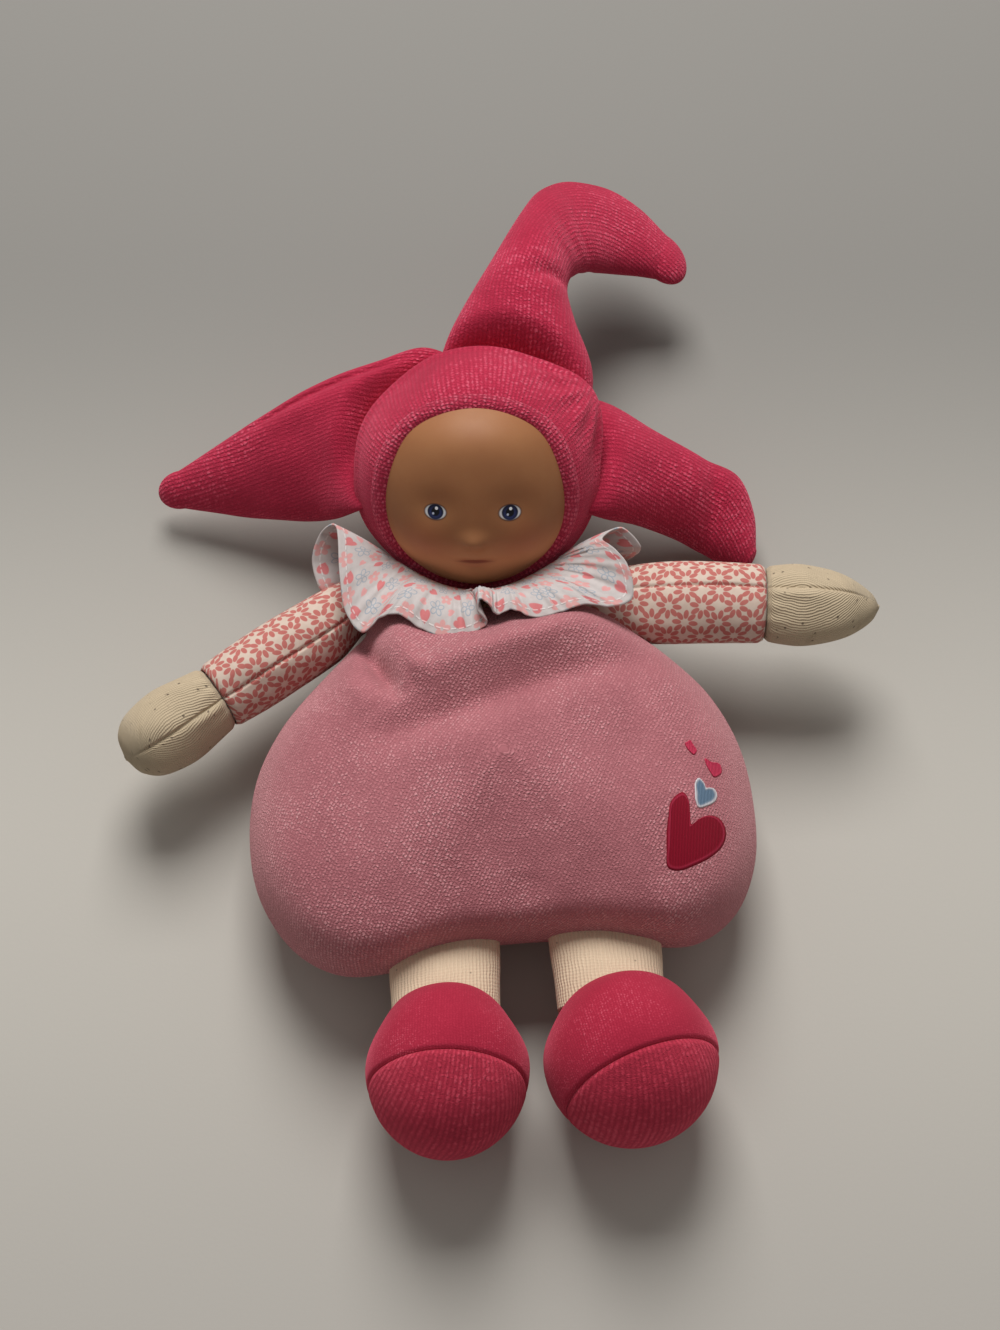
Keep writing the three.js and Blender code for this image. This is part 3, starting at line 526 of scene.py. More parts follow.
def blossom(f, x, y, petals, reach, long, wide, heart):
    """A flower: the angle is folded into one petal, an ellipse at the given reach, and the middle is
    left open."""
    away = f.sum("SQRT", f.sum("ADD", f.sum("POWER", x, 2.0), f.sum("POWER", y, 2.0)))
    turn = f.sum("MULTIPLY", f.sum("ARCTAN2", y, x), petals / (2 * math.pi))
    fold = f.sum("SUBTRACT", f.sum("FRACT", turn), 0.5)
    lean = f.sum("MULTIPLY", fold, 2 * math.pi / petals)
    out = f.sum("MULTIPLY", away, f.sum("COSINE", lean))
    side = f.sum("MULTIPLY", away, f.sum("SINE", lean))
    petal = f.oval(out, side, (reach, 0.0), (long, wide), INK_SOFT)
    return f.sum("MULTIPLY", petal, f.step(away, heart * (1 - OPEN_SOFT), heart * (1 + OPEN_SOFT)))


def small_heart(f, x, y, size):
    """A heart: a disc whose upper edge is lifted by the square root of the distance from the middle
    line."""
    across = f.sum("DIVIDE", x, size)
    lift = f.sum("MULTIPLY", f.sum("SQRT", f.sum("ABSOLUTE", across)), HEART_NOTCH)
    up = f.sum("SUBTRACT", f.sum("DIVIDE", y, size), lift)
    return f.oval(across, up, (0.0, 0.0), (1.0, 1.0), INK_SOFT)


def weave(f, mm, pitch):
    """Plain weave: the product of two sine rows, one for the warp and one for the weft."""
    x, y = f.split(f.vector("MULTIPLY", mm, (2 * math.pi / pitch,) * 3))
    return f.sum("MULTIPLY_ADD", f.sum("MULTIPLY", f.sum("SINE", x), f.sum("SINE", y)), 0.5, 0.5)


COTTON_SKIN = {"Roughness": 0.86, "Sheen Weight": 0.08, "Specular IOR Level": 0.2}
WEAVE_PITCH = 0.42
WEAVE_DEPTH = 0.06
print("weave pitch", WEAVE_PITCH, "mm")

# %% Sleeve cotton
DAISY_PERIOD = (9.4, 9.6)
DAISY_SWING = 1.2
DAISY_INK = 0.92
WEAR_SCALE = 0.5


def daisy_cotton():
    """Eight-petalled daisies on two lattices, the second in the gaps of the first, over worn cream
    cotton."""
    f = Finish("sleeve_cotton", COTTON_SKIN)
    mm = f.millimetres()
    daisies = []
    for shift in ((0.0, 0.0), (0.5, 0.5)):
        x, y = motif_cell(f, mm, DAISY_PERIOD, shift, DAISY_SWING)
        daisies.append(blossom(f, x, y, petals=8, reach=2.4, long=1.32, wide=0.74, heart=0.85))
    ink = f.sum("MAXIMUM", *daisies)
    wear = f.noise(mm, WEAR_SCALE, detail=3.0)
    threads = weave(f, mm, WEAVE_PITCH)
    cream = f.paint(wear, shade(218, 199, 184), shade(202, 178, 161))
    salmon = f.paint(wear, shade(192, 106, 98), shade(178, 90, 84))
    printed = f.paint(f.sum("MULTIPLY", ink, DAISY_INK), cream, salmon)
    return f.close(printed, threads, WEAVE_DEPTH)


sleeve_cotton = daisy_cotton()
print("daisies every", DAISY_PERIOD, "mm")

# %% Collar cotton
COLLAR_PERIOD = (12.4, 10.8)
COLLAR_WEAR = 0.4
HEM_STITCH = 2.3
STITCH_PITCH = 2.4
STITCH_WIDTH = (0.14, 0.3)
STITCH_GAP = (0.28, 0.36)
STITCH_INK = 0.45
STITCH_HEIGHT = 2.0


def sprig(f, x, y):
    """An outlined flower: a large blossom less a smaller one."""
    outer = blossom(f, x, y, petals=5, reach=1.7, long=1.35, wide=1.0, heart=0.2)
    inner = blossom(f, x, y, petals=5, reach=1.7, long=1.0, wide=0.68, heart=0.2)
    return f.sum("SUBTRACT", outer, inner)


COLLAR_MOTIFS = [
    # shift, swing, strength, colour, how it is drawn
    ((0.1, 0.2), 5.0, 0.85, shade(208, 104, 106), lambda f, x, y: small_heart(f, x, y, size=1.85)),
    ((0.6, 0.3), 6.0, 0.7, shade(220, 142, 138),
     lambda f, x, y: blossom(f, x, y, petals=5, reach=1.6, long=1.15, wide=0.9, heart=0.5)),
    ((0.35, 0.75), 6.0, 0.75, shade(138, 154, 168), sprig),
    ((0.85, 0.8), 6.0, 0.8, shade(222, 148, 146), lambda f, x, y: small_heart(f, x, y, size=1.2)),
]


def collar_print():
    """White cotton with hearts, blossoms and outlined sprigs on staggered lattices, and a row of stitches
    along the hem. The cloth map's second number is the distance from the hem."""
    f = Finish("ruffle_cotton", COTTON_SKIN)
    mm = f.millimetres()
    colour = f.paint(f.noise(mm, COLLAR_WEAR, detail=3.0), shade(206, 198, 195), shade(182, 172, 168))
    for shift, swing, strength, ink, draw in COLLAR_MOTIFS:
        x, y = motif_cell(f, mm, COLLAR_PERIOD, shift, swing)
        colour = f.paint(f.sum("MULTIPLY", draw(f, x, y), strength), colour, ink)
    along, hem = f.split(mm)
    near = f.sum("ABSOLUTE", f.sum("SUBTRACT", hem, HEM_STITCH))
    thread = f.step(near, *STITCH_WIDTH, 1.0, 0.0)
    dash = f.step(f.sum("FRACT", f.sum("DIVIDE", along, STITCH_PITCH)), *STITCH_GAP)
    stitch = f.sum("MULTIPLY", thread, dash)
    colour = f.paint(f.sum("MULTIPLY", stitch, STITCH_INK), colour, shade(248, 240, 236))
    threads = f.sum("MULTIPLY_ADD", stitch, STITCH_HEIGHT, weave(f, mm, WEAVE_PITCH))
    return f.close(colour, threads, WEAVE_DEPTH)


ruffle_cotton = collar_print()
print("collar motifs every", COLLAR_PERIOD, "mm")

# %% [markdown]
# ### Jersey
# The hands, the neck and the legs are cotton jersey, a fine knit whose ribs run lengthwise. The hands
# have been dragged about, so they are greyed at the tips and carry dark specks of lint. A knit of real
# loops would be heavy, so the ribs are sine rows, the furrows between them get a painted shade, and the
# soil and the lint are noises with a threshold.


# %% Jersey finishes
LOOP_RATIO = 1.3
LOOP_SHARE = 0.25
FUZZ_SCALE = 3.0
FUZZ_SHARE = 0.5
# painted shade in the furrows between the ribs
FURROW_SHADE_SHARE = 0.3
SOIL_SCALE = 0.13
SOIL_RANGE = (0.62, 0.85)
SPECK_SCALE = 0.42
SPECK_SIZE = (0.08, 0.22)
SPECK_INK = 0.8
JERSEY_DEPTH = 0.16


def jersey(name, clean, soiled_and_shaded, pitch, soil, lint):
    """Ribs of the given pitch in mm along the cloth, stitches across them, a soil noise between two
    colours, a painted shade that darkens the furrows between the ribs towards the soiled colour, and
    lint: the middles of a few cells of a coarse lattice, chosen by chance."""
    f = Finish(name, {"Roughness": 0.92, "Sheen Weight": 0.12, "Specular IOR Level": 0.15})
    mm = f.millimetres()
    x, y = f.split(f.vector("ADD", mm, f.add("TexNoise", {"Vector": mm, "Scale": 0.3}, 1)))
    rib = f.sum("MULTIPLY_ADD", f.sum("SINE", f.sum("MULTIPLY", x, 2 * math.pi / pitch)), 0.5, 0.5)
    loops = f.sum("SINE", f.sum("MULTIPLY", y, 2 * LOOP_RATIO * math.pi / pitch))
    stitch = f.sum("MULTIPLY_ADD", loops, 0.5, 0.5)
    fuzz = f.noise(mm, FUZZ_SCALE, detail=3.0)
    height = f.sum("MULTIPLY_ADD", stitch, LOOP_SHARE, f.sum("MULTIPLY_ADD", fuzz, FUZZ_SHARE, rib))
    dirt = f.step(f.noise(mm, SOIL_SCALE, detail=4.0), SOIL_RANGE[0] - soil, SOIL_RANGE[1] - soil)
    # painted shade: the furrows between the ribs are darkened towards the soiled colour
    furrow_shade = f.sum("MULTIPLY", f.sum("SUBTRACT", 1.0, rib), FURROW_SHADE_SHARE)
    colour = f.paint(f.sum("MAXIMUM", dirt, furrow_shade), clean, soiled_and_shaded)
    speck = f.add("TexVoronoi", {"Vector": mm, "Scale": SPECK_SCALE, "Randomness": 1.0})
    chosen = f.sum("GREATER_THAN", f.split(speck.node.outputs["Color"])[0], 1.0 - lint)
    dot = f.sum("MULTIPLY", f.step(speck, *SPECK_SIZE, 1.0, 0.0), chosen)
    colour = f.paint(f.sum("MULTIPLY", dot, SPECK_INK), colour, shade(74, 60, 52))
    return f.close(colour, height, JERSEY_DEPTH)


hand_jersey = jersey(
    "hand_jersey", shade(196, 177, 148), shade(164, 145, 118), pitch=0.8, soil=0.06, lint=0.55,
)
leg_jersey = jersey(
    "leg_jersey", shade(226, 202, 173), shade(200, 173, 144), pitch=1.05, soil=0.0, lint=0.04,
)
print("jerseys:", hand_jersey.name, leg_jersey.name)

# %% [markdown]
# ### Vinyl, thread, cord and wadding
# The face is soft brown vinyl, satin rather than shiny, with eyes, mouth and blush sprayed on through a
# mask. Painted marks could be separate shells, but they would stand off the skin, so they are ovals in
# the face's own map. The hearts are satin stitch, the tie is a twisted cord and the stuffing is white
# fleece.

# %% Face paint
EYE_Y = -3.0
EYES_X = (-12.1, 10.5)
# painted light: the lower face grows paler towards the chin, for light thrown up by the white collar
CHIN_PAINTED_LIGHT = (-30.0, -8.0, 1.0, 0.0)
FACE_PAINT = [
    # centre, half sizes, softness, strength, colour: two cheeks, the lips and the line between them
    ((-16.0, -13.5), (7.0, 6.0), 0.9, 0.35, shade(172, 92, 62)),
    ((15.0, -13.0), (7.0, 6.0), 0.9, 0.35, shade(172, 92, 62)),
    ((-0.2, -20.9), (5.4, 2.0), 0.6, 0.45, shade(164, 84, 62)),
    ((-0.2, -20.9), (5.0, 0.55), 0.5, 0.75, shade(128, 56, 44)),
]
MOTTLE_SCALE = 0.09
GRAIN_SCALE = 2.2
GRAIN_DEPTH = 0.02
SATIN = (0.14, 0.5)
EYE_PAINT = [
    # across, up, half the width, half the height, softness, colour
    (0.0, 0.0, 3.65, 2.6, 0.12, shade(80, 50, 38)),
    (0.0, 0.0, 3.3, 2.2, 0.1, shade(212, 212, 214)),
    (0.0, 0.05, 2.55, 2.35, 0.08, shade(22, 24, 46)),
    (0.0, -0.25, 2.0, 1.8, 0.3, shade(40, 48, 90)),
    (0.0, 0.05, 1.3, 1.35, 0.15, shade(12, 12, 20)),
    (0.28, 1.1, 0.5, 0.5, 0.2, shade(246, 247, 250)),
    (-0.7, -0.6, 0.35, 0.35, 0.3, shade(188, 194, 214)),
]


def painted_vinyl():
    """Brown vinyl with a painted light that grows paler towards the chin, where the white collar throws
    light up, and warmer at the cheeks and the lips. Each eye is a stack of ovals: a brown outline, the
    white, the dark rim, the blue iris, the pupil and two glints. All are placed in mm on the face's map."""
    f = Finish("brown_vinyl", {"Specular IOR Level": 0.28, "Subsurface Weight": 0.08,
                               "Subsurface Radius": (0.004, 0.002, 0.001)})
    mm = f.millimetres()
    x, y = f.split(mm)
    mottle = f.noise(mm, MOTTLE_SCALE, detail=3.0)
    colour = f.paint(mottle, shade(166, 114, 74), shade(152, 98, 62))
    # painted light: paler towards the chin, standing in for light thrown up by the white collar
    colour = f.paint(f.step(y, *CHIN_PAINTED_LIGHT), colour, shade(230, 162, 116))
    for centre, sizes, soft, strength, paint in FACE_PAINT:
        mark = f.sum("MULTIPLY", f.oval(x, y, centre, sizes, soft), strength)
        colour = f.paint(mark, colour, paint)
    for eye in EYES_X:
        for across, up, wide, tall, soft, paint in EYE_PAINT:
            colour = f.paint(f.oval(x, y, (eye + across, EYE_Y + up), (wide, tall), soft), colour, paint)
    f.join(f.skin.inputs["Roughness"], f.sum("MULTIPLY_ADD", mottle, *SATIN))
    return f.close(colour, f.noise(mm, GRAIN_SCALE, detail=2.0), GRAIN_DEPTH)


brown_vinyl = painted_vinyl()
print("eyes", EYES_X[1] - EYES_X[0], "mm apart")


# %% Thread, cord and wadding
THREAD_PITCH = 0.42
THREAD_WAVER = 3.0
THREAD_DEPTH = 0.12
PLY_TURN = 2.2
PLY_DEPTH = 0.3
CLOUD_SCALE = 0.2
FLEECE_SCALE = 1.2
FLEECE_DEPTH = 0.5


def satin_thread(name, deep_shade, light, edge):
    """Satin stitch: close threads across the shape as fine sine rows, broken by a noise, with a painted
    shade in the darker colour between the threads, and a border whose own colour is mixed in by the
    border mark."""
    f = Finish(name, {"Roughness": 0.6, "Specular IOR Level": 0.15})
    mm = f.millimetres()
    x, _ = f.split(mm)
    even = f.sum("MULTIPLY", x, 2 * math.pi / THREAD_PITCH)
    run = f.sum("MULTIPLY_ADD", f.noise(mm, scale=0.8, detail=2.0), THREAD_WAVER, even)
    row = f.sum("MULTIPLY_ADD", f.sum("SINE", run), 0.5, 0.5)
    # painted shade: the darker colour lies between the threads of the satin rows
    colour = f.paint(row, deep_shade, light)
    border = f.add("Attribute", output=2, attribute_name="border")
    colour = f.paint(border, colour, edge)
    return f.close(colour, row, THREAD_DEPTH)


def twisted_cord():
    """Pale cord: two plies that cross the cord's length on a slant, with a painted shade in the darker
    colour where they meet.
    """
    f = Finish("tie_cord", {"Roughness": 0.8, "Sheen Weight": 0.1})
    mm = f.millimetres()
    x, y = f.split(mm)
    slant = f.sum("MULTIPLY_ADD", f.sum("ADD", x, y), PLY_TURN, f.noise(mm, scale=1.5, detail=2.0))
    ply = f.sum("MULTIPLY_ADD", f.sum("SINE", slant), 0.5, 0.5)
    # painted shade: the grooves between the plies take the darker colour
    return f.close(f.paint(ply, shade(190, 176, 160), shade(232, 222, 208)), ply, PLY_DEPTH)


def fleece():
    """White wadding: soft clouds over fine fibres."""
    f = Finish("wadding", {"Roughness": 1.0, "Sheen Weight": 0.3})
    mm = f.millimetres()
    colour = f.paint(f.noise(mm, CLOUD_SCALE, detail=5.0), shade(226, 223, 216), shade(246, 244, 239))
    return f.close(colour, f.noise(mm, FLEECE_SCALE, detail=6.0), FLEECE_DEPTH)


pink_thread = satin_thread("pink_thread", shade(118, 8, 30), shade(152, 18, 44), shade(172, 44, 70))
rose_thread = satin_thread("rose_thread", shade(170, 36, 66), shade(206, 62, 92), shade(196, 54, 84))
blue_thread = satin_thread("blue_thread", shade(84, 106, 128), shade(112, 136, 158), shade(214, 208, 210))
tie_cord = twisted_cord()
wadding = fleece()
print("threads, cord and wadding are ready")

# %% [markdown]
# ## The bag
# The doll's body is a flat round bag of dusty-pink velour, two panels sewn round one outline and
# stuffed loosely. A cloth simulation could blow it up, but the slack folds of this one are known from
# the photograph, so it is a dome over the outline with its creases pressed in where they lie.

# %% Outline of the bag
NECK_X = -8.0
NECK_RADIUS = 10.0
NECK_HEIGHT = 21.0
BAG_HALF_WIDTH = 71.5
BAG_TOP = 57.0
BAG_BOTTOM = 46.0
SEAM_HEIGHT = 23.0
BAG_CROWN = 29.0
BAG_POLE = np.array([0.0, 4.0])
SHOULDER = 32.3
SHOULDER_LIFT = 3.2
SHOULDER_DROP = 8.5
FULL_SHOULDER = (32.5, 54.5)
BAG_SIDE_SHAPE = np.array([
    [0.54, 0.86], [0.66, 0.755], [0.82, 0.56], [0.94, 0.28], [0.99, -0.04], [0.985, -0.43], [0.9, -0.75],
    [0.75, -0.92], [0.57, -0.93], [0.39, -0.9], [0.07, -0.91], [-0.24, -0.98], [-0.46, -1.1],
    [-0.64, -1.11], [-0.81, -0.97], [-0.95, -0.65], [-1, -0.26], [-0.98, 0.09], [-0.895, 0.35],
    [-0.775, 0.56], [-0.62, 0.77],
])
BAG_COLUMNS = 400
BAG_ROWS = 84

bag_side = BAG_SIDE_SHAPE * np.where(
    BAG_SIDE_SHAPE[:, 1:] > 0, [BAG_HALF_WIDTH, BAG_TOP], [BAG_HALF_WIDTH, BAG_BOTTOM]
)
bag_outline = np.concatenate([
    [[NECK_X + NECK_RADIUS, BAG_TOP], [NECK_X + SHOULDER, BAG_TOP + SHOULDER_LIFT]],
    [FULL_SHOULDER],
    bag_side,
    [[NECK_X - SHOULDER, BAG_TOP - SHOULDER_DROP]],
    [[NECK_X - SHOULDER, BAG_TOP + SHOULDER_LIFT], [NECK_X - NECK_RADIUS, BAG_TOP]],
])
bag_edge = even_path(bag_outline, BAG_COLUMNS, closed=True)
print("bag", np.ptp(bag_edge, axis=0).round(1), "mm across")

# %% Creases of the bag
BAG_FOLDS = [
    # path over the bag, height, width
    ([[-36, 9], [-20, 14], [-1, 21], [20, 29], [44, 36]], -4.0, 5.5),
    ([[-26, 27], [-8, 34], [9, 40], [26, 46], [40, 45]], 6.0, 6.0),
    ([[-43, 48], [-37.5, 36], [-30, 23]], -8.0, 2.6),
    ([[-32, 44], [-28, 35], [-22, 27]], 3.0, 3.4),
    ([[-48, 36], [-42, 26], [-36, 17]], 2.0, 4.0),
    ([[4, -41], [6, -28]], -1.2, 5.0),
]
CREASE_POINTS = 48
CREASE_FADE = 0.5
BAG_LUMPS = [
    # height, size, seed
    (0.4, 42, 3),
    (0.25, 15, 4),
]


def crease(plan, path, width):
    """One on the path and falling away from it as a bell of the given width, fading at the path's
    ends."""
    line = even_path(path, CREASE_POINTS)
    away = np.linalg.norm(plan[..., None, :] - line, axis=-1)
    near = away.argmin(axis=-1)
    fade = np.sin(np.pi * (near + 1) / (CREASE_POINTS + 1)) ** CREASE_FADE
    return bell(away.min(axis=-1), width) * fade


def bag_relief(plan):
    """Height of the folds over the dome: valleys and ridges, and a slow unevenness of the stuffing."""
    folds = sum(height * crease(plan, path, width) for path, height, width in BAG_FOLDS)
    return sum((height * lumps(plan, size, seed) for height, size, seed in BAG_LUMPS), folds)


REACH_STEPS = 720
REACH_SOFTNESS = math.radians(13)
CROWN_FALL = (0.3, 0.2)
CROWN_POWER = (1.4, -0.2)
CROWN_EDGE = (8, 22)
SEAM_EDGE = (12, 18)
FOLD_EDGE = 6
UPPER_PART = (0.45, 0.75)
DEEP_SPOT = np.array([[-37.5, 36.0]])
reach_angles = np.linspace(-np.pi, np.pi, REACH_STEPS, endpoint=False)
edge_away = bag_edge - BAG_POLE
edge_angle = np.arctan2(edge_away[:, 1], edge_away[:, 0])
edge_order = np.argsort(edge_angle)
edge_reach = np.interp(
    reach_angles, edge_angle[edge_order], np.linalg.norm(edge_away, axis=1)[edge_order], period=2 * np.pi
)
soften = np.exp(-((np.arange(REACH_STEPS // 2 + 1) * REACH_SOFTNESS) ** 2) / 2)
soft_reach = np.fft.irfft(np.fft.rfft(edge_reach) * soften, REACH_STEPS)


def by_low(pair, low):
    """The pair's first value, with its second added by as much as the place is low."""
    return pair[0] + pair[1] * low


def bag_crown(share, low):
    """How far the dome has risen at a share of the way from the middle to the seam: a slow fall with a
    power of the share, times a round edge. Towards the low edge the fall is larger and the edge
    tighter."""
    fall = 1 - by_low(CROWN_FALL, low) * share ** by_low(CROWN_POWER, low)
    return fall * np.sqrt(1 - share ** by_low(CROWN_EDGE, low))


def bag_shares(plan):
    """The share of the way to the seam, the same to a softened outline, and how much a place lies to
    the bottom."""
    away = plan - BAG_POLE
    distance = np.linalg.norm(away, axis=-1)
    angle = np.arctan2(away[..., 1], away[..., 0])
    reach = np.interp(angle, reach_angles, edge_reach, period=2 * np.pi)
    upper = ease(np.sin(angle), *UPPER_PART)
    soft = upper * np.interp(angle, reach_angles, soft_reach, period=2 * np.pi) + (1 - upper) * reach
    low = np.maximum(0, -np.sin(angle)) ** 2
    return np.clip(distance / reach, 0, 1), np.clip(distance / soft, 0, 1), low


def bag_front_height(plan):
    """Height of the front cloth over any place: the dome over the softened outline, closed at the seam
    itself, and the folds."""
    share, soft, low = bag_shares(plan)
    dome = BAG_CROWN * bag_crown(soft, low) * np.sqrt(1 - share ** by_low(SEAM_EDGE, low))
    return SEAM_HEIGHT + dome + bag_relief(plan) * (1 - share**FOLD_EDGE)


print("deepest crease", round(float(bag_relief(DEEP_SPOT)[0]), 1), "mm")

# %% Bag panels
POLE_SHARE = 0.01
FLOOR_PRESS = 0.5


def bag_panel(name, front):
    """Rows run from the seam to the middle, closer near the seam. The front is the dome with its folds,
    and the back is the dome below, pressed flat by the floor. The cloth map keeps direction and length
    from the middle."""
    share = np.sin(np.linspace(1, POLE_SHARE, BAG_ROWS) * np.pi / 2)[:, None]
    plan = BAG_POLE + share[..., None] * (bag_edge - BAG_POLE)
    if front:
        height = bag_front_height(plan)
    else:
        under = (SEAM_HEIGHT + FLOOR_PRESS) * bag_crown(share, 0)
        height = np.maximum(0, SEAM_HEIGHT - under) + 0 * plan[..., 0]
    points = np.concatenate([plan, height[..., None]], axis=-1)
    run = lengths(points[::-1], 0)[::-1]
    away = plan - BAG_POLE
    cloth = away / np.linalg.norm(away, axis=-1, keepdims=True) * run[..., None]
    cloth = np.concatenate([cloth, cloth[:, :1]], axis=1)
    return grid_piece(name, points, cloth, caps=(False, True))


bag_front = bag_panel("bag_front", True)
thicken(bag_front, thickness=1.4)
dress(bag_front, pink_velour, ["body_front"], "torso")
bag_back = bag_panel("bag_back", False)
thicken(bag_back, thickness=1.4)
dress(bag_back, pink_velour, ["body_back"], "torso")


# %% Hearts on the bag
HEARTS = {
    "heart_large": dict(
        at=(49.0, -18.8), inset=0.75, line=0.22, finish=pink_thread, slot="pink_thread",
        outline=[
            [-4.8, -8.4], [-2, -9.2], [2.7, -7.5], [7.1, -4.9], [10.4, -1.6], [11.7, 1.8], [11.3, 4.5],
            [9.7, 6.2], [6.9, 6.5], [4.1, 5.2], [1.9, 3.4], [1.6, 6.2], [1.3, 10.1], [-0.1, 12.3],
            [-2, 11.4], [-3.8, 9.1], [-4.5, 5.2], [-5, 1.3], [-5.1, -3.6],
        ],
    ),
    "heart_blue": dict(
        at=(54.6, -6.9), inset=0.2, line=0.5, finish=blue_thread, slot="blue_thread",
        outline=[
            [-1.6, -3.6], [0.9, -2.8], [3.2, -1.1], [3.9, 0.9], [3.1, 2.5], [1.7, 2.6], [0.8, 2.4],
            [0.2, 3.8], [-1.2, 5], [-2.3, 3.7], [-2.5, 0.9], [-2.4, -1.8],
        ],
    ),
    "heart_small_upper": dict(
        at=(51.4, 7.1), inset=0.3, line=0.3, finish=rose_thread, slot="pink_thread",
        outline=[
            [-1.5, 1], [-0.8, 1.5], [0, 2.1], [0.9, 0.7], [1.8, -0.8], [0.9, -2.3], [-0.1, -1.6],
            [-1, -0.5],
        ],
    ),
    "heart_small_lower": dict(
        at=(57.8, 1.9), inset=0.3, line=0.3, finish=rose_thread, slot="pink_thread",
        outline=[
            [-2.4, 2.3], [-0.4, 1.6], [1.9, 1.8], [2.5, -0.3], [1.6, -1.9], [0, -2.8], [-1.2, -1.3],
            [-2.1, 0.4],
        ],
    ),
}
HEART_COLUMNS = 144
HEART_ROWS = 30
HEART_LIFT = 0.3
HEART_MIDDLE = 0.03
HEART_STEP = 14
BORDER_LIFT = 0.12
HEART_UNDER = 0.97
HEART_SINK = [[-0.4], [-0.9]]


def stitched_heart(name, heart):
    """The outline shrunk towards its middle, row by row, laid on the cloth. It stands proud by a
    rounded step with a raised line near the edge, and its last rows go down into the pile."""
    share = np.concatenate([np.linspace(HEART_MIDDLE, 1, HEART_ROWS), [1.0, HEART_UNDER]])[:, None]
    edge = even_path(heart["outline"], HEART_COLUMNS, closed=True)
    local = share[..., None] * edge
    plan = np.array(heart["at"]) + local
    from_edge = (1 - share) * np.linalg.norm(edge, axis=1)
    border = bell(from_edge - heart["inset"], heart["line"])
    lift = HEART_LIFT * (1 - share**HEART_STEP) ** 0.5 + BORDER_LIFT * border
    lift[-len(HEART_SINK):] = HEART_SINK
    points = np.concatenate([plan, (bag_front_height(plan) + lift)[..., None]], axis=-1)
    cloth = np.concatenate([local, local[:, :1]], axis=1)
    return grid_piece(name, points, cloth, caps=(True, True), marks={"border": border})


for heart_name, heart in HEARTS.items():
    heart_piece = stitched_heart(heart_name + "_stitched", heart)
    dress(heart_piece, heart["finish"], [heart_name], "torso")

# %% [markdown]
# ## Neck and tie
# Under the collar a stuffed jersey stub with a round end carries the head, and a cord gathers the
# collar round it. Little of it is seen, and a turned profile is all it needs: the same outline carried
# round one axis.

# %% Neck and tie
NECK_START = 43.0
NECK_DOME = 53.8
NECK_COLUMNS = 72
TUBE_ROWS = 16
DOME_ROWS = 24
DOME_GAP = 0.02
NECK_PUCKERS = 18
PUCKER_DEPTH = 0.012
CORD_STEPS = 120
CORD_SIDES = 16
CORD_GAP = 0.3
TIE_RADIUS = 1.2
TIE_Y = 58.5


def neck_stub():
    """A straight tube with a half ball on its end, turned round the line through the neck, faintly
    puckered."""
    rise = np.concatenate([np.linspace(NECK_START, NECK_DOME, TUBE_ROWS), np.full(DOME_ROWS, NECK_DOME)])
    bend = np.linspace(DOME_GAP, math.pi / 2 - DOME_GAP, DOME_ROWS)
    roll = np.concatenate([np.zeros(TUBE_ROWS), bend])
    a = np.linspace(0, 2 * np.pi, NECK_COLUMNS, endpoint=False)
    radius = (NECK_RADIUS * np.cos(roll))[:, None] * (1 - PUCKER_DEPTH * (1 + np.cos(NECK_PUCKERS * a)))
    along = (rise + NECK_RADIUS * np.sin(roll))[:, None] + 0 * a
    points = np.stack([NECK_X + radius * np.cos(a), along, NECK_HEIGHT + radius * np.sin(a)], axis=-1)
    return grid_piece("neck_stub", points, caps=(True, True))


def gathering_cord():
    """A ring of cord round the neck: a small circle carried round a large one."""
    around = np.linspace(0, 2 * np.pi, CORD_STEPS, endpoint=False)[:, None]
    section = np.linspace(0, 2 * np.pi, CORD_SIDES, endpoint=False)
    reach = NECK_RADIUS + CORD_GAP + TIE_RADIUS * (1 + np.cos(section))
    along = TIE_Y + TIE_RADIUS * np.sin(section) + 0 * around
    across, up = NECK_X + reach * np.cos(around), NECK_HEIGHT + reach * np.sin(around)
    points = np.stack([across, along, up], axis=-1)
    return grid_piece("gathering_cord", points, loop=True)


neck_piece = neck_stub()
dress(neck_piece, hand_jersey, ["neck"], "neck")
tie_piece = gathering_cord()
dress(tie_piece, tie_cord, ["neck_tie"], "neck")

# %% [markdown]
# ## Head
# The head is a ball in a velour hood with a round vinyl face in its opening. Everything on it is
# written in the face's own directions: an angle from the face's axis and an angle round it. The hood's
# surface is one function of the direction, which the hood's panels and its brim follow.

# %% Directions of the head
HEAD_RADIUS = 35.5
HEAD_CENTRE = np.array([NECK_X, 97.455, HEAD_RADIUS])
FACE_TILT = math.radians(44)
FACE_TURN = np.array([
    [1, 0, 0],
    [0, math.cos(FACE_TILT), -math.sin(FACE_TILT)],
    [0, math.sin(FACE_TILT), math.cos(FACE_TILT)],
])
CORNER = (math.radians(94), math.radians(34))
CORNER_HEIGHT = 5.0
CORNER_WIDTH = 12.0
FLAT_SIDE = (math.radians(84), math.radians(128))
FLAT_DEPTH = 1.6
FLAT_WIDTH = 12.0
HOOD_UNEVEN = 0.35
FAN_HEIGHT = 0.5
FAN_COUNT = 11
FAN_START = 1.0
FAN_AWAY = 13
FAN_WIDTH = 7.0
OPENING = [[4, 48.3], [46, 48.0], [90, 45.7], [134, 48.2], [176, 49], [203, 54], [225, 59],
           [250, 61.5], [270, 62], [290, 61.5], [315, 58.4], [338, 53.2]]
HOOD_SEAM = [[0, 88], [34, 101], [60, 103], [79, 103], [111, 102], [143, 97], [180, 87], [225, 92],
             [270, 96], [315, 92]]


def direction(polar, around):
    """Unit direction at an angle from the face's axis and an angle round it, in the face's own frame."""
    polar, around = np.broadcast_arrays(polar, around)
    away = np.sin(polar)
    return np.stack([away * np.cos(around), away * np.sin(around), np.cos(polar)], axis=-1)


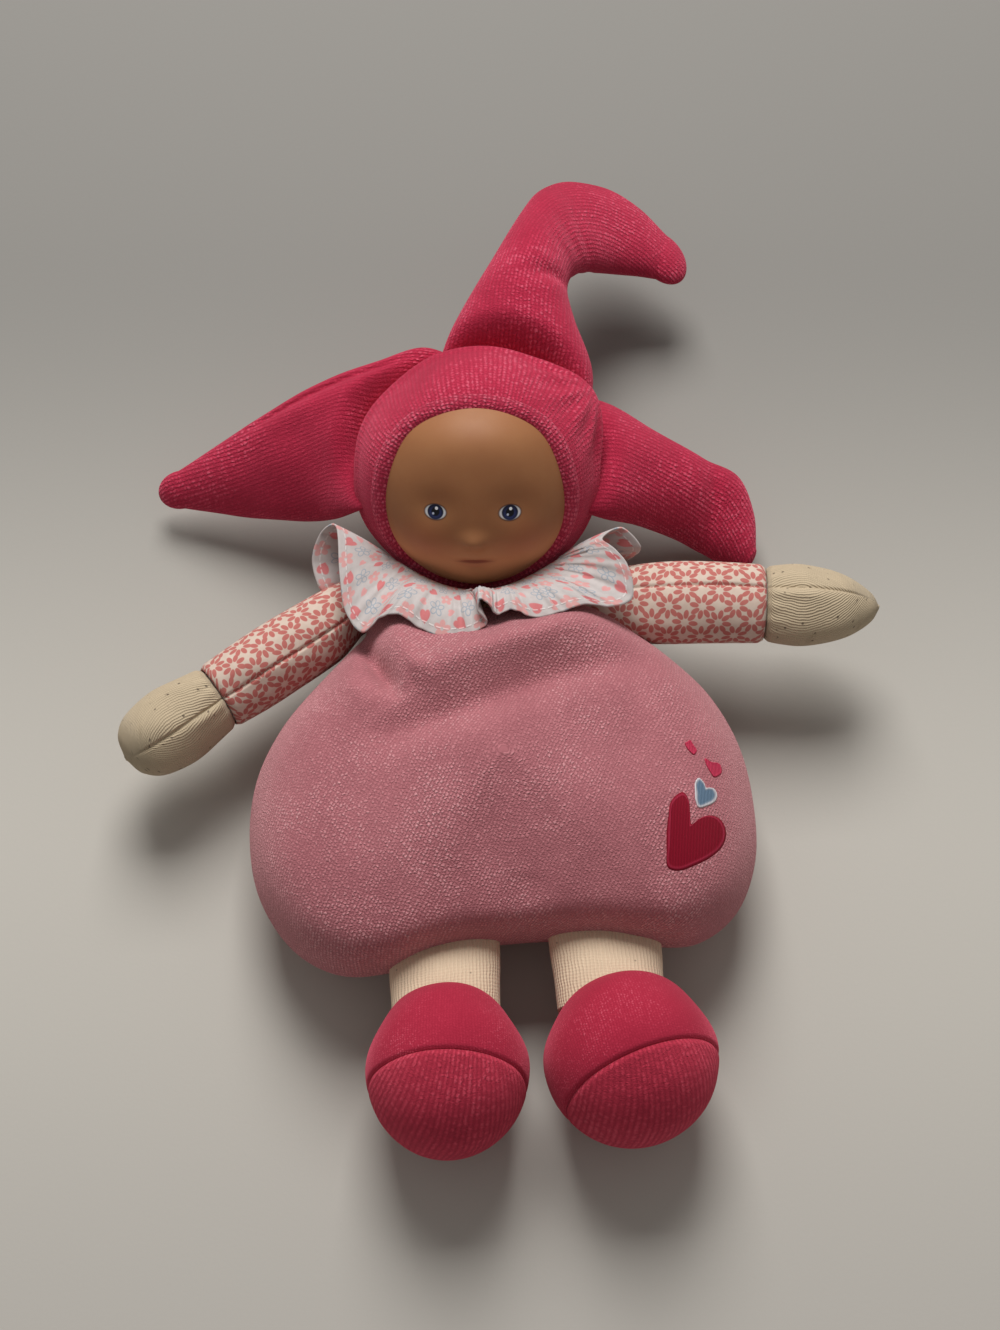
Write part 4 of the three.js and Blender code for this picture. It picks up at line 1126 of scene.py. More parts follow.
def round_table(table, around):
    """An angle that changes smoothly round the face: a closed curve through the table's rows."""
    turn, polar = np.radians(np.asarray(table, float)).T
    spots = np.stack([polar * np.cos(turn), polar * np.sin(turn)], axis=-1)
    curve = spline(spots, np.linspace(0, 1, CURVE_STEPS)[:-1], closed=True)
    angles = np.arctan2(curve[:, 1], curve[:, 0])
    order = np.argsort(angles)
    return np.interp(around, angles[order], np.linalg.norm(curve, axis=1)[order], period=2 * np.pi)


def hood_radius(toward):
    """Distance of the hood's cloth from the head's middle: a ball with a corner pulled out where two
    points meet, wrinkles that fan out from that corner, a flatter side across from it, and soft
    unevenness."""
    pull = direction(*CORNER)
    corner = HEAD_RADIUS * np.arccos(np.clip(toward @ pull, -1, 1))
    first = direction(CORNER[0] - math.pi / 2, CORNER[1])
    fan = np.arctan2(toward @ np.cross(pull, first), toward @ first)
    flat = HEAD_RADIUS * np.arccos(np.clip(toward @ direction(*FLAT_SIDE), -1, 1))
    out = CORNER_HEIGHT * bell(corner, CORNER_WIDTH) - FLAT_DEPTH * bell(flat, FLAT_WIDTH)
    out = out + HOOD_UNEVEN * lumps(toward * HEAD_RADIUS, size=22, seed=7)
    wrinkles = FAN_HEIGHT * np.sin(FAN_COUNT * fan + FAN_START) * bell(corner - FAN_AWAY, FAN_WIDTH)
    return HEAD_RADIUS + out + wrinkles


def on_head(toward, radius):
    """The place of a direction and a distance from the head's middle, turned to the face's tilt."""
    return HEAD_CENTRE + (toward * radius[..., None]) @ FACE_TURN.T


corner_out = float(hood_radius(direction(*CORNER)) - HEAD_RADIUS)
print("hood corner stands", round(corner_out, 1), "mm out")

# %% [markdown]
# ### Face
# The vinyl face is one smooth bulge with a small button nose, shallow eye sockets, round cheeks and a
# soft chin. Sculpting would do, but each form is so soft that it is just a bell added to the bulge,
# placed on the face's map.

# %% Face
FACE_SEAT = 33.3
FACE_EDGE = math.radians(68)
FACE_START = 0.004
FACE_BULGE = 1.3
BULGE_EDGE = math.radians(50)
FACE_ROWS = 130
FACE_COLUMNS = 288
FACE_FORMS = [
    # across, up, height, width, tallness
    (-0.3, -11.6, 2.4, 4.0, 2.9),
    (-0.3, -8.0, 0.5, 3.0, 5.0),
    (-11.6, -1.0, -1.1, 7.0, 5.0),
    (10.6, -0.8, -1.1, 7.0, 5.0),
    (-14.5, -14.0, 1.5, 8.0, 7.0),
    (13.8, -13.5, 1.5, 8.0, 7.0),
    (-0.2, -20.6, -0.5, 5.5, 0.9),
    (-0.2, -18.9, 0.45, 3.4, 1.2),
    (-0.2, -22.6, 0.5, 3.6, 1.4),
    (0.0, -32.0, 1.6, 12.0, 6.0),
    (0.0, 18.5, 2.0, 20.0, 9.0),
]


def vinyl_face():
    """Radius over the face: the seat, a bulge that falls with the square of the angle, and the bells."""
    polar = np.linspace(FACE_START, 1, FACE_ROWS)[:, None] * FACE_EDGE
    around = np.linspace(0, 2 * np.pi, FACE_COLUMNS, endpoint=False) - np.pi / 2
    across = HEAD_RADIUS * polar * np.cos(around)
    up = HEAD_RADIUS * polar * np.sin(around)
    radius = FACE_SEAT + FACE_BULGE * np.maximum(0, 1 - (polar / BULGE_EDGE) ** 2) + 0 * across
    for form_x, form_y, height, wide, tall in FACE_FORMS:
        radius = radius + height * bell(np.hypot((across - form_x) / wide, (up - form_y) / tall), 1.0)
    points = on_head(direction(polar, around), radius)
    cloth = np.stack([across, up], axis=-1)
    cloth = np.concatenate([cloth, cloth[:, :1]], axis=1)
    return grid_piece("vinyl_face", points, cloth, caps=(True, False))


face_piece = vinyl_face()
thicken(face_piece, thickness=1.8)
dress(face_piece, brown_vinyl, ["face_mask"], "head")

# %% [markdown]
# ### Hood
# The hood is a front panel round the face, a back panel behind a seam, and a soft rolled brim. Each
# panel follows the hood's surface between two curves round the face, and sinks where it is sewn.

# %% Hood panels and brim
HOOD_COLUMNS = 320
HOOD_ROWS = 64
BRIM_HALF = (4.0, 3.4)
BRIM_SIDES = 32
BRIM_GIRTH = 0.75
BRIM_DIP = 0.3
DIP_WIDTH = 2.5
SEAM_DEPTH = 2.4
SEAM_NARROW = 1.3
SEAM_RIDGE = 1.1
RIDGE_AWAY = 4
RIDGE_WIDTH = 2.6
MEAN_GIRTH = 0.9
BACK_POLE = math.radians(179)
hood_around = np.linspace(0, 2 * np.pi, HOOD_COLUMNS, endpoint=False) - np.pi / 2
opening = round_table(OPENING, hood_around)
seam = round_table(HOOD_SEAM, hood_around)
brim_middle = opening + BRIM_HALF[0] / HEAD_RADIUS


def hood_map(polar, around):
    """Cloth coordinates on the hood: the way round at a mean radius, and the way from the face."""
    turn = np.concatenate([around, around[:1] + 2 * np.pi])
    across = MEAN_GIRTH * HEAD_RADIUS * turn + 0 * polar[:, :1]
    along = HEAD_RADIUS * np.concatenate([polar, polar[:, :1]], axis=1)
    return np.stack([across, along], axis=-1)


def hood_panel(name, first, last, caps):
    """Rows between two curves round the face. The cloth sinks in a narrow bell at the seam, behind a low
    ridge, and a little at the brim, and lies on the floor where the head does."""
    share = np.linspace(0, 1, HOOD_ROWS)[:, None]
    polar = first + (last - first) * share
    toward = direction(polar, hood_around + 0 * polar)
    past_seam = HEAD_RADIUS * (polar - seam)
    past_brim = HEAD_RADIUS * (polar - brim_middle)
    sunk = SEAM_DEPTH * bell(past_seam, SEAM_NARROW) + BRIM_DIP * bell(past_brim, DIP_WIDTH)
    sunk = sunk - SEAM_RIDGE * bell(past_seam + RIDGE_AWAY, RIDGE_WIDTH)
    points = on_head(toward, hood_radius(toward) - sunk)
    points[..., 2] = np.maximum(points[..., 2], 0)
    return grid_piece(name, points, hood_map(polar, hood_around), caps=caps)


def rolled_brim():
    """An oval section carried round just outside the opening. Its top lies in the hood's surface, so
    the hood rolls over it into the face."""
    section = np.linspace(0, 2 * np.pi, BRIM_SIDES, endpoint=False)[:, None]
    polar = brim_middle + BRIM_HALF[0] * np.cos(section) / HEAD_RADIUS
    toward = direction(polar, hood_around + 0 * polar)
    points = on_head(toward, hood_radius(toward) - BRIM_HALF[1] * (1 - np.sin(section)))
    turn = np.concatenate([hood_around, hood_around[:1] + 2 * np.pi])
    cloth = np.stack(np.broadcast_arrays(turn * HEAD_RADIUS * BRIM_GIRTH, BRIM_HALF[0] * section), axis=-1)
    return grid_piece("rolled_brim", points, cloth, loop=True)


hood_front = hood_panel("hood_front_panel", brim_middle, seam, (False, False))
thicken(hood_front, thickness=1.3)
dress(hood_front, raspberry_velour, ["hood_front"], "head")
hood_back = hood_panel("hood_back_panel", seam, np.full_like(seam, BACK_POLE), (False, True))
thicken(hood_back, thickness=1.3)
dress(hood_back, raspberry_velour, ["hood_back"], "head")
brim_piece = rolled_brim()
dress(brim_piece, brim_velour, ["hood_brim"], "head")

# %% [markdown]
# ### Points of the hood
# Three stuffed points grow from the hood: a tall peak that hooks over to the right, and one at each
# side. Each is a flat bag between two edge curves. It could be modelled as a bent cone, but the
# photograph gives the two edges, so an oval is carried between them, thin where it is sewn to the ball
# and swelling away from it.

# %% Point shapes
POINT_ROWS = 150
POINT_TIP_ROWS = 24
POINT_COLUMNS = 176
POINT_SWELL = 9.0
TIP_THIN = (1.08, 1.15)
REACH_LIMIT = 1.1
FOLDS_GROW = (0.2, 0.9)
ROLL_GROWS = (0.1, 0.6)
SINK_GROWS = (0.05, 0.65)
TIP_AIM = 10
TIP_CLOSE = 0.98
HOOD_POINTS = {
    "hood_peak": dict(
        edges=[
            [-13, 26, 33, 13, 6], [-8.5, 40, 34.5, 28, 8.5], [-1, 54, 29.5, 43, 11.5],
            [7, 69, 27.3, 54.5, 12], [13.5, 83, 29, 62, 10], [20, 94.3, 33, 66.5, 6],
            [29, 100.4, 38, 69, 1.5], [40.5, 101, 43, 71, -2.5], [51, 95.8, 49.5, 72, -5.5],
            [60, 87.5, 56, 72.2, -8],
        ],
        thickness=25, tip=9.2, sewn=2.5, roll=0.0, sink=4.0,
        seat=(10.4, 31.85, 12.7), wadding="peak_wadding",
    ),
    "hood_left_point": dict(
        edges=[
            [-4, 36, -26, -10, 2], [-16, 40, -33, -13.5, 1.5], [-29, 35.3, -40, -14.5, 0.5],
            [-43, 31.2, -48, -14, -2.5], [-60, 24.3, -59, -11.5, -7.5], [-76, 16.8, -72, -7.5, -13.5],
            [-91.5, 9.6, -90, -2.2, -19.4],
        ],
        thickness=23, tip=7.8, sewn=4.0, roll=0.5, sink=4.0,
        seat=(-33.7, 11.8, 0), wadding="left_point_wadding",
    ),
    "hood_right_point": dict(
        edges=[
            [22, 24, 30, -13.5, 0], [37, 24.5, 37.5, -14, -3], [53, 18, 49, -12.7, -10],
            [69, 11.5, 60, -14, -16.5], [79.5, 8, 67.5, -16.3, -21], [84.5, -3, 74, -18.7, -24],
            [85, -14, 80.5, -20.5, -25.5],
        ],
        thickness=20, tip=1.5, sewn=4.5, roll=0.3, sink=1.0,
        seat=(35.6, 3.5, 0), wadding="right_point_wadding",
    ),
}


def point_rings(shape, folds):
    """Rings between the two edge curves, measured from the head's middle. Half the ring's height grows
    from the sewn edge with the sine of the distance from the ball. The ring is rolled: its upper edge
    moves towards the camera and its lower edge away. The whole point sinks away from the camera along
    its length. The last rings close the tip as a round end."""
    edges, thickness, sewn = np.asarray(shape["edges"], float), shape["thickness"], shape["sewn"]
    t = np.linspace(0, 1, POINT_ROWS)
    one = spline(edges[:, [0, 1, 4]], t)
    other = spline(edges[:, [2, 3, 4]], t)
    centre = (one + other) / 2
    half = (one - other) / 2
    reach = np.linalg.norm(half, axis=-1)
    angle = np.linspace(0, 2 * np.pi, POINT_COLUMNS, endpoint=False) - np.pi / 2
    taper = np.minimum(1, np.sqrt(TIP_THIN[0] - t) * TIP_THIN[1])
    full = np.minimum(thickness / 2 * taper, reach * REACH_LIMIT)[:, None]
    points = centre[:, None] + half[:, None] * np.cos(angle)[:, None]
    out = np.clip((np.linalg.norm(points, axis=-1) - HEAD_RADIUS) / POINT_SWELL, 0, 1)
    rise = sewn + (full - sewn) * np.sin(out * np.pi / 2)
    rise = rise + folds(t[:, None], angle) * ease(out, *FOLDS_GROW)
    points[..., 2] += rise * np.sin(angle)
    rolled = shape["roll"] * reach[:, None] * np.cos(angle) * ease(t, *ROLL_GROWS)[:, None]
    lowered = shape["sink"] * ease(t, *SINK_GROWS)[:, None]
    points = points + (rolled - lowered)[..., None] * camera_back
    centre = centre - lowered * camera_back
    onward = centre[-1] - centre[-POINT_ROWS // TIP_AIM]
    onward = onward / np.linalg.norm(onward)
    close = np.linspace(0, 1, POINT_TIP_ROWS + 1)[1:, None, None] * np.pi / 2 * TIP_CLOSE
    end = centre[-1] + (points[-1] - centre[-1]) * np.cos(close) + onward * shape["tip"] * np.sin(close)
    return np.concatenate([points, end])


print("points:", ", ".join(HOOD_POINTS))


# %% Folds of the points
INNER_SIDE = (-0.4, 1.0)
BEND_DEPTH = 1.6
PEAK_BENDS = [
    # place along the peak, strength, width
    (0.52, 1.0, 0.03),
    (0.6, 0.8, 0.025),
    (0.44, 0.7, 0.025),
]
FOOT_FOLD = dict(depth=4.0, at=0.27, slant=0.06, width=0.026)
LEFT_STRETCH = (0.55, 0.85)
LEFT_LIP = dict(height=0.8, at=1.0, width=0.25)
LEFT_CREASE = dict(depth=2.0, at=0.62, drift=0.1, width=0.11)
RIGHT_TIP = dict(depth=1.3, at=0.62, slant=0.1, width=0.05)
RIGHT_FOOT = dict(depth=0.8, at=0.15, slant=0.0, width=0.06)


def cross_fold(fold, t, angle):
    """A crease across a point: a bell at a place along it, which the slant moves with the angle."""
    return fold["depth"] * bell(t - fold["at"] + fold["slant"] * np.cos(angle), fold["width"])


def peak_folds(t, angle):
    """The peak creases across where it bends, and buckles above its foot: bells along it, deepest on the
    inside."""
    inner = ease(-np.cos(angle), *INNER_SIDE)
    bends = sum(strength * bell(t - at, width) for at, strength, width in PEAK_BENDS)
    return -BEND_DEPTH * bends * inner - cross_fold(FOOT_FOLD, t, angle) * inner


def left_folds(t, angle):
    """A long crease runs under the upper edge of the left point, with a raised lip below it, from its
    foot to past the middle."""
    stretch = 1 - ease(t, *LEFT_STRETCH)
    lip = LEFT_LIP["height"] * bell(angle - LEFT_LIP["at"], LEFT_LIP["width"])
    sunk = bell(angle - LEFT_CREASE["at"] - LEFT_CREASE["drift"] * t, LEFT_CREASE["width"])
    return stretch * (lip - LEFT_CREASE["depth"] * sunk)


def right_folds(t, angle):
    """The tip of the right point hangs over a soft crease, and a shallower one lies near its foot."""
    return -cross_fold(RIGHT_TIP, t, angle) - cross_fold(RIGHT_FOOT, t, angle)


POINT_FOLDS = {"hood_peak": peak_folds, "hood_left_point": left_folds, "hood_right_point": right_folds}
POINT_UNEVEN = 0.35

for point_name, shape in HOOD_POINTS.items():
    rings = point_rings(shape, POINT_FOLDS[point_name])
    rings[..., 2] += POINT_UNEVEN * lumps(rings, size=16, seed=len(point_name))
    placed = HEAD_CENTRE + rings
    placed[..., 2] = np.maximum(placed[..., 2], 0)
    point_piece = grid_piece(point_name + "_velour", placed, caps=(False, True))
    thicken(point_piece, thickness=1.2)
    dress(point_piece, raspberry_velour, [point_name], None)
    seat = np.array(shape["seat"])
    seat = seat / np.linalg.norm(seat)
    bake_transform(point_piece)

# %% [markdown]
# ## Arms
# Each arm is a printed sleeve that starts flat at the shoulder seam, and a jersey mitten on its end. A
# sewn seam runs along the arm. An oval is carried along a straight line, its width and height read from
# a short table.

# %% Arm sections
SHOULDER_HALF = 33.5
SHOULDER_RISE = 1.5
ARM_HEIGHT = 25.0
ARM_RADIUS = 11.0
SLEEVE_LENGTH = 50.0
SLEEVE_TUCK = 6.0
ARM_COLUMNS = 168
SEAM_CROWD = 0.8
SEAM_WIDTH = 0.05
SEAM_HOLLOW = (0.25, 6)
SQUARE_BY = 0.3
ARM_LEAST = 1.4
SLEEVE_SHAPE = [
    [0, 0.86, 0.62], [0.1, 0.88, 0.7], [0.24, 0.94, 0.84], [0.45, 1, 0.95], [0.75, 1, 1.02],
    [1, 0.95, 0.97],
]
ARMS = {
    "left": dict(
        side=-1, droop=36, rise=1, spread=0.955, seam=120, hand=31.5,
        hand_shape=[
            [0, 0.92, 0.94], [0.2, 1.02, 1], [0.5, 1.13, 1.05], [0.76, 1, 0.94], [0.93, 0.66, 0.62],
            [1, 0.04, 0.04],
        ],
    ),
    "right": dict(
        side=1, droop=2.5, rise=6, spread=1.12, seam=83, hand=33.2,
        hand_shape=[
            [0, 0.9, 0.92], [0.15, 0.97, 0.98], [0.3, 1, 1], [0.53, 0.9, 0.95], [0.7, 0.75, 0.84],
            [0.83, 0.56, 0.66], [0.94, 0.32, 0.4], [1, 0.04, 0.04],
        ],
    ),
}


def seam_turn():
    """Angles round the arm, counted from the seam and crowded towards it, and the same between half
    turns."""
    turn = np.linspace(0, 2 * np.pi, ARM_COLUMNS, endpoint=False)
    turn = turn - SEAM_CROWD * np.sin(turn)
    return turn, (turn + np.pi) % (2 * np.pi) - np.pi


def arm_onward(arm):
    """The direction of an arm from its shoulder: out to its side and down by its droop."""
    droop = math.radians(arm["droop"])
    return np.array([arm["side"] * math.cos(droop), -math.sin(droop), 0.0])


def arm_line(arm, along):
    """Points on the straight line of the arm, at lengths along it from the shoulder."""
    shoulder = np.array([NECK_X + arm["side"] * SHOULDER_HALF, BAG_TOP + SHOULDER_RISE, ARM_HEIGHT])
    return shoulder + along[:, None] * arm_onward(arm)


def arm_rings(arm, along, wide, thick, groove):
    """Ovals along the arm. The across direction turns from straight up the bag at the shoulder to
    square to the arm, and the groove cuts a narrow bell and a shallow wide one into each oval at the
    seam's angle."""
    side = arm["side"]
    onward = arm_onward(arm)
    square = np.array([-onward[1] * side, onward[0] * side, 0.0])
    turn = np.clip(along / (SQUARE_BY * SLEEVE_LENGTH), 0, 1)[:, None]
    across = (1 - turn) * np.array([0.0, 1.0, 0.0]) + turn * square
    across = across / np.linalg.norm(across, axis=-1, keepdims=True)
    centre = arm_line(arm, along)
    centre[:, 2] += arm["rise"] * np.sin(np.pi / 2 * np.clip(along / SLEEVE_LENGTH, 0, 1))
    angle, off = seam_turn()
    angle = angle + math.radians(arm["seam"])
    hollow = SEAM_HOLLOW[0] * bell(off, SEAM_HOLLOW[1] * SEAM_WIDTH)
    sunk = 1 - groove[:, None] * (bell(off, SEAM_WIDTH) + hollow)
    width = (wide * ARM_RADIUS * arm["spread"])[:, None] * sunk
    height = np.maximum(thick * ARM_RADIUS / arm["spread"], ARM_LEAST)[:, None] * sunk
    flat = centre[:, None] + across[:, None] * (width * np.cos(angle))[..., None]
    flat[..., 2] += height * np.sin(angle)
    return flat


print("arms are", [SLEEVE_LENGTH + arm["hand"] for arm in ARMS.values()], "mm long")

# %% Sleeves and hands
SLEEVE_ROWS = 90
HAND_ROWS = 84
WRIST_PUCKERS = 15
SLEEVE_BEND = (-4.0, 13.0)
CUFF = dict(drawn=0.07, width=0.015)
SLEEVE_GROOVE = 0.075
GROOVE_STARTS = (0.05, 0.2)
WRINKLE_STRETCH = np.array([0.35, 1.0, 1.0])
WRINKLE_HEIGHT = 0.35
WRIST = dict(drawn=0.08, width=0.025, gap=0.2)
HAND_GROOVE = 0.06
GROOVE_ENDS = (0.7, 1)
HAND_PUCKER = dict(height=0.16, at=0.06, reach=0.12)
HAND_FOLD = dict(height=0.9, off=0.22, width=0.13, at=0.2, reach=0.22, start=0.05)
HAND_UNEVEN = 0.4


def sleeve(name, arm):
    """The table's ovals, with shallow wrinkles that are stretched sideways, and a drawn-in cuff at the
    end."""
    share = np.linspace(0, 1, SLEEVE_ROWS)
    wide, thick = graded(SLEEVE_SHAPE, share)
    drawn = 1 - CUFF["drawn"] * bell(share - 1, CUFF["width"])
    along = share * (SLEEVE_LENGTH + SLEEVE_TUCK) - SLEEVE_TUCK
    groove = SLEEVE_GROOVE * ease(share, *GROOVE_STARTS)
    points = arm_rings(arm, along, wide * drawn, thick * drawn, groove)
    points[..., 2] += lumps(points * WRINKLE_STRETCH, size=9, seed=11) * WRINKLE_HEIGHT
    return grid_piece(name, points)


def mitten(name, arm):
    """The hand's ovals, drawn in at the wrist seam, with small puckers that fade from the wrist, a fold
    beside the long seam, and a round end."""
    share = np.sin(np.linspace(0, 1, HAND_ROWS) * np.pi / 2)
    wide, thick = graded(arm["hand_shape"], share)
    drawn = 1 - WRIST["drawn"] * bell(share, WRIST["width"])
    along = SLEEVE_LENGTH + WRIST["gap"] + share * arm["hand"]
    groove = HAND_GROOVE * (1 - ease(share, *GROOVE_ENDS))
    points = arm_rings(arm, along, wide * drawn, thick * drawn, groove)
    _, off = seam_turn()
    near_wrist = bell(share - HAND_PUCKER["at"], HAND_PUCKER["reach"])[:, None]
    pucker = HAND_PUCKER["height"] * np.sin(WRIST_PUCKERS * off) * near_wrist
    stretch = bell(share - HAND_FOLD["at"], HAND_FOLD["reach"]) * ease(share, 0, HAND_FOLD["start"])
    fold = HAND_FOLD["height"] * bell(off - HAND_FOLD["off"], HAND_FOLD["width"]) * stretch[:, None]
    points[..., 2] += pucker + fold + HAND_UNEVEN * lumps(points, size=12, seed=13)
    return grid_piece(name, points, caps=(False, True))


for arm_side, arm in ARMS.items():
    sleeve_piece = sleeve(arm_side + "_sleeve_cotton", arm)
    thicken(sleeve_piece, thickness=0.8)
    dress(sleeve_piece, sleeve_cotton, [arm_side + "_sleeve"], None)
    first, second = arm_line(arm, np.array(SLEEVE_BEND))
    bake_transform(sleeve_piece)
    hand_piece = mitten(arm_side + "_hand_jersey", arm)
    thicken(hand_piece, thickness=1.0)
    dress(hand_piece, hand_jersey, [arm_side + "_hand"], arm_side + "_arm")

# %% [markdown]
# ## Legs and slippers
# Short ribbed jersey legs hang from the hem of the bag and end in round velour slippers, each sewn from
# an upper and a sole. A leg is an oval carried down a line, flat at the hem. A slipper is a ball walked
# from its seam: up to the ankle for the upper, and down to the middle of the foot for the sole.

# %% Leg places
ANKLE_HALF = (14.8, 9.7)
LEG_LENGTH = 15.0
LEG_SHAPE = [[-6, 15.6, 4.5], [0, 15.6, 7], [4, 15.4, 8.4], [9, 15, 9.4], [17, 14.8, 10.6]]
LEG_ROWS = 60
LEG_COLUMNS = 160
LEG_UNEVEN = 0.3
UNEVEN_WAY = np.array([0, 0.3, 1.0])
SLIPPER_HALF = np.array([22.6, 23.6, 24.3])
SLIPPER_ROWS = 84
SLIPPER_COLUMNS = 200
SLIPPER_TAPER = 0.07
TAPER_AT = 0.62
TAPER_WIDTH = 0.32
SLIPPER_MEAN = 24
SLIPPER_UNEVEN = 0.008
LEGS = {
    "left": dict(at=(-16.2, -47.225, 23.0), slope=0.2353, splay=2, reach=30.6, shift=0.0, girth=0.98,
                 sole=(-0.015, -0.96, 0.28), rim=14),
    "right": dict(at=(28.0, -43.1, 23.0), slope=-0.0464, splay=5, reach=32.0, shift=3.6, girth=1.05,
                  sole=(0.27, -0.93, 0.24), rim=20),
}


def leg_frame(leg, points):
    """Points of a leg's own frame, turned out by its splay and moved to its seam."""
    splay = math.radians(leg["splay"])
    turned = points.copy()
    turned[..., 0] = points[..., 0] * math.cos(splay) - points[..., 1] * math.sin(splay)
    turned[..., 1] = points[..., 0] * math.sin(splay) + points[..., 1] * math.cos(splay)
    return turned + np.array(leg["at"])


def ribbed_leg(name, leg):
    """Ovals down the leg, whose long axis turns from the line of the hem to square across."""
    down = np.linspace(LEG_SHAPE[0][0], LEG_SHAPE[-1][0], LEG_ROWS)
    wide, thick = graded(LEG_SHAPE, down)
    tilt = math.atan(leg["slope"]) - math.radians(leg["splay"])
    along = np.array([math.cos(tilt), math.sin(tilt), 0.0])
    turn = np.clip(down / LEG_LENGTH, 0, 1)[:, None]
    across = (1 - turn) * along + turn * np.array([1.0, 0.0, 0.0])
    across = across / np.linalg.norm(across, axis=-1, keepdims=True)
    angle = np.linspace(0, 2 * np.pi, LEG_COLUMNS, endpoint=False) - np.pi / 2
    points = across[:, None] * (wide[:, None] * np.cos(angle))[..., None]
    points[..., 1] -= down[:, None]
    points[..., 2] += thick[:, None] * np.sin(angle)
    placed = leg_frame(leg, points)
    placed += LEG_UNEVEN * lumps(placed, size=14, seed=17)[..., None] * UNEVEN_WAY
    return grid_piece(name, placed)


print("legs hang at", [leg["at"][0] for leg in LEGS.values()], "mm across")


# %% Slippers
def slipper_middle(leg):
    """The middle of the slipper in the leg's own frame: down the leg, a little aside, and resting on
    the floor."""
    return np.array([leg["shift"], -leg["reach"], SLIPPER_HALF[2] - leg["at"][2]])


def slipper_ball(leg, toward):
    """The slipper's surface in a direction: a ball stretched on its own axes, with soft unevenness, and
    narrower towards the ankle."""
    uneven = 1 + SLIPPER_UNEVEN * lumps(toward * SLIPPER_MEAN, size=14, seed=19)[..., None]
    narrow = np.ones_like(toward)
    narrow[..., 0] = leg["girth"] - SLIPPER_TAPER * bell(toward[..., 1] - TAPER_AT, TAPER_WIDTH)
    return toward * SLIPPER_HALF * narrow * uneven + slipper_middle(leg)


def sole_axes(leg):
    """Three directions of the foot: two in the plane of the seam, and the one out of the sole."""
    out = np.array(leg["sole"]) / np.linalg.norm(leg["sole"])
    east = np.cross([0.0, 0.0, 1.0], out)
    east = east / np.linalg.norm(east)
    return east, np.cross(out, east), out


def between(first, last, share):
    """Directions on the way from one to another along the great circle through both."""
    angle = np.arccos(np.clip((first * last).sum(axis=-1, keepdims=True), -1, 1))
    return (np.sin((1 - share) * angle) * first + np.sin(share * angle) * last) / np.sin(angle)


SEAM_SINK = 0.03
SINK_WIDTH = 0.03
SOLE_END = 0.99
slipper_angle = np.linspace(0, 2 * np.pi, SLIPPER_COLUMNS, endpoint=False) - np.pi / 2


def slipper_half(name, leg, sole):
    """Rows from the seam: to the middle of the sole, or to the ring where the leg comes out. Both
    halves sink in a narrow bell at the seam."""
    east, north, out = sole_axes(leg)
    rim = math.radians(leg["rim"])
    seam_ring = np.cos(slipper_angle)[:, None] * east + np.sin(slipper_angle)[:, None] * north
    seam_ring = math.cos(rim) * seam_ring + math.sin(rim) * out
    middle = slipper_middle(leg)
    if sole:
        last = np.broadcast_to(out, seam_ring.shape)
        share = np.linspace(0, SOLE_END, SLIPPER_ROWS)[:, None, None]
    else:
        girth = SLIPPER_HALF[0] * (leg["girth"] - SLIPPER_TAPER)
        x = (ANKLE_HALF[0] * np.cos(slipper_angle) - middle[0]) / girth
        z = (ANKLE_HALF[1] * np.sin(slipper_angle) - middle[2]) / SLIPPER_HALF[2]
        last = np.stack([x, np.sqrt(1 - x**2 - z**2), z], axis=-1)
        share = np.linspace(0, 1, SLIPPER_ROWS)[:, None, None]
    toward = between(seam_ring, last, share)
    away = np.arccos(np.clip((toward * seam_ring).sum(axis=-1), -1, 1))
    sunk = 1 - SEAM_SINK * bell(away, SINK_WIDTH)[..., None]
    points = middle + (slipper_ball(leg, toward) - middle) * sunk
    points = leg_frame(leg, points)
    if sole:
        flat = np.stack([(toward * east).sum(axis=-1), (toward * north).sum(axis=-1)], axis=-1)
        run = lengths(points, 0)[-1] - lengths(points, 0)
        cloth = flat / np.linalg.norm(flat, axis=-1, keepdims=True) * run[..., None]
        cloth = np.concatenate([cloth, cloth[:, :1]], axis=1)
    else:
        cloth = cloth_map(points)
    return grid_piece(name, points, cloth, caps=(False, sole))


for leg_side, leg in LEGS.items():
    leg_piece = ribbed_leg(leg_side + "_leg_jersey", leg)
    thicken(leg_piece, thickness=1.0)
    dress(leg_piece, leg_jersey, [leg_side + "_leg"], None)
    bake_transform(leg_piece)
    for part, is_sole, finish in (("upper", False, slipper_velour), ("sole", True, sole_velour)):
        slipper_name = leg_side + "_slipper_" + part
        slipper_piece = slipper_half(slipper_name + "_velour", leg, is_sole)
        thicken(slipper_piece, thickness=1.3)
        dress(slipper_piece, finish, [slipper_name], leg_side + "_leg")

# %% [markdown]
# ## Collar
# A strip of printed cotton is gathered at the neck and fans out over the chest and the shoulders. A
# simulated strip would fall its own way, so the hem's measured path is kept, with its flutes and the
# pinched pleat in the middle, and small gathers fade from the neck to the hem. The collar is cut at
# four places in its folds, into a front, a back and two wings.

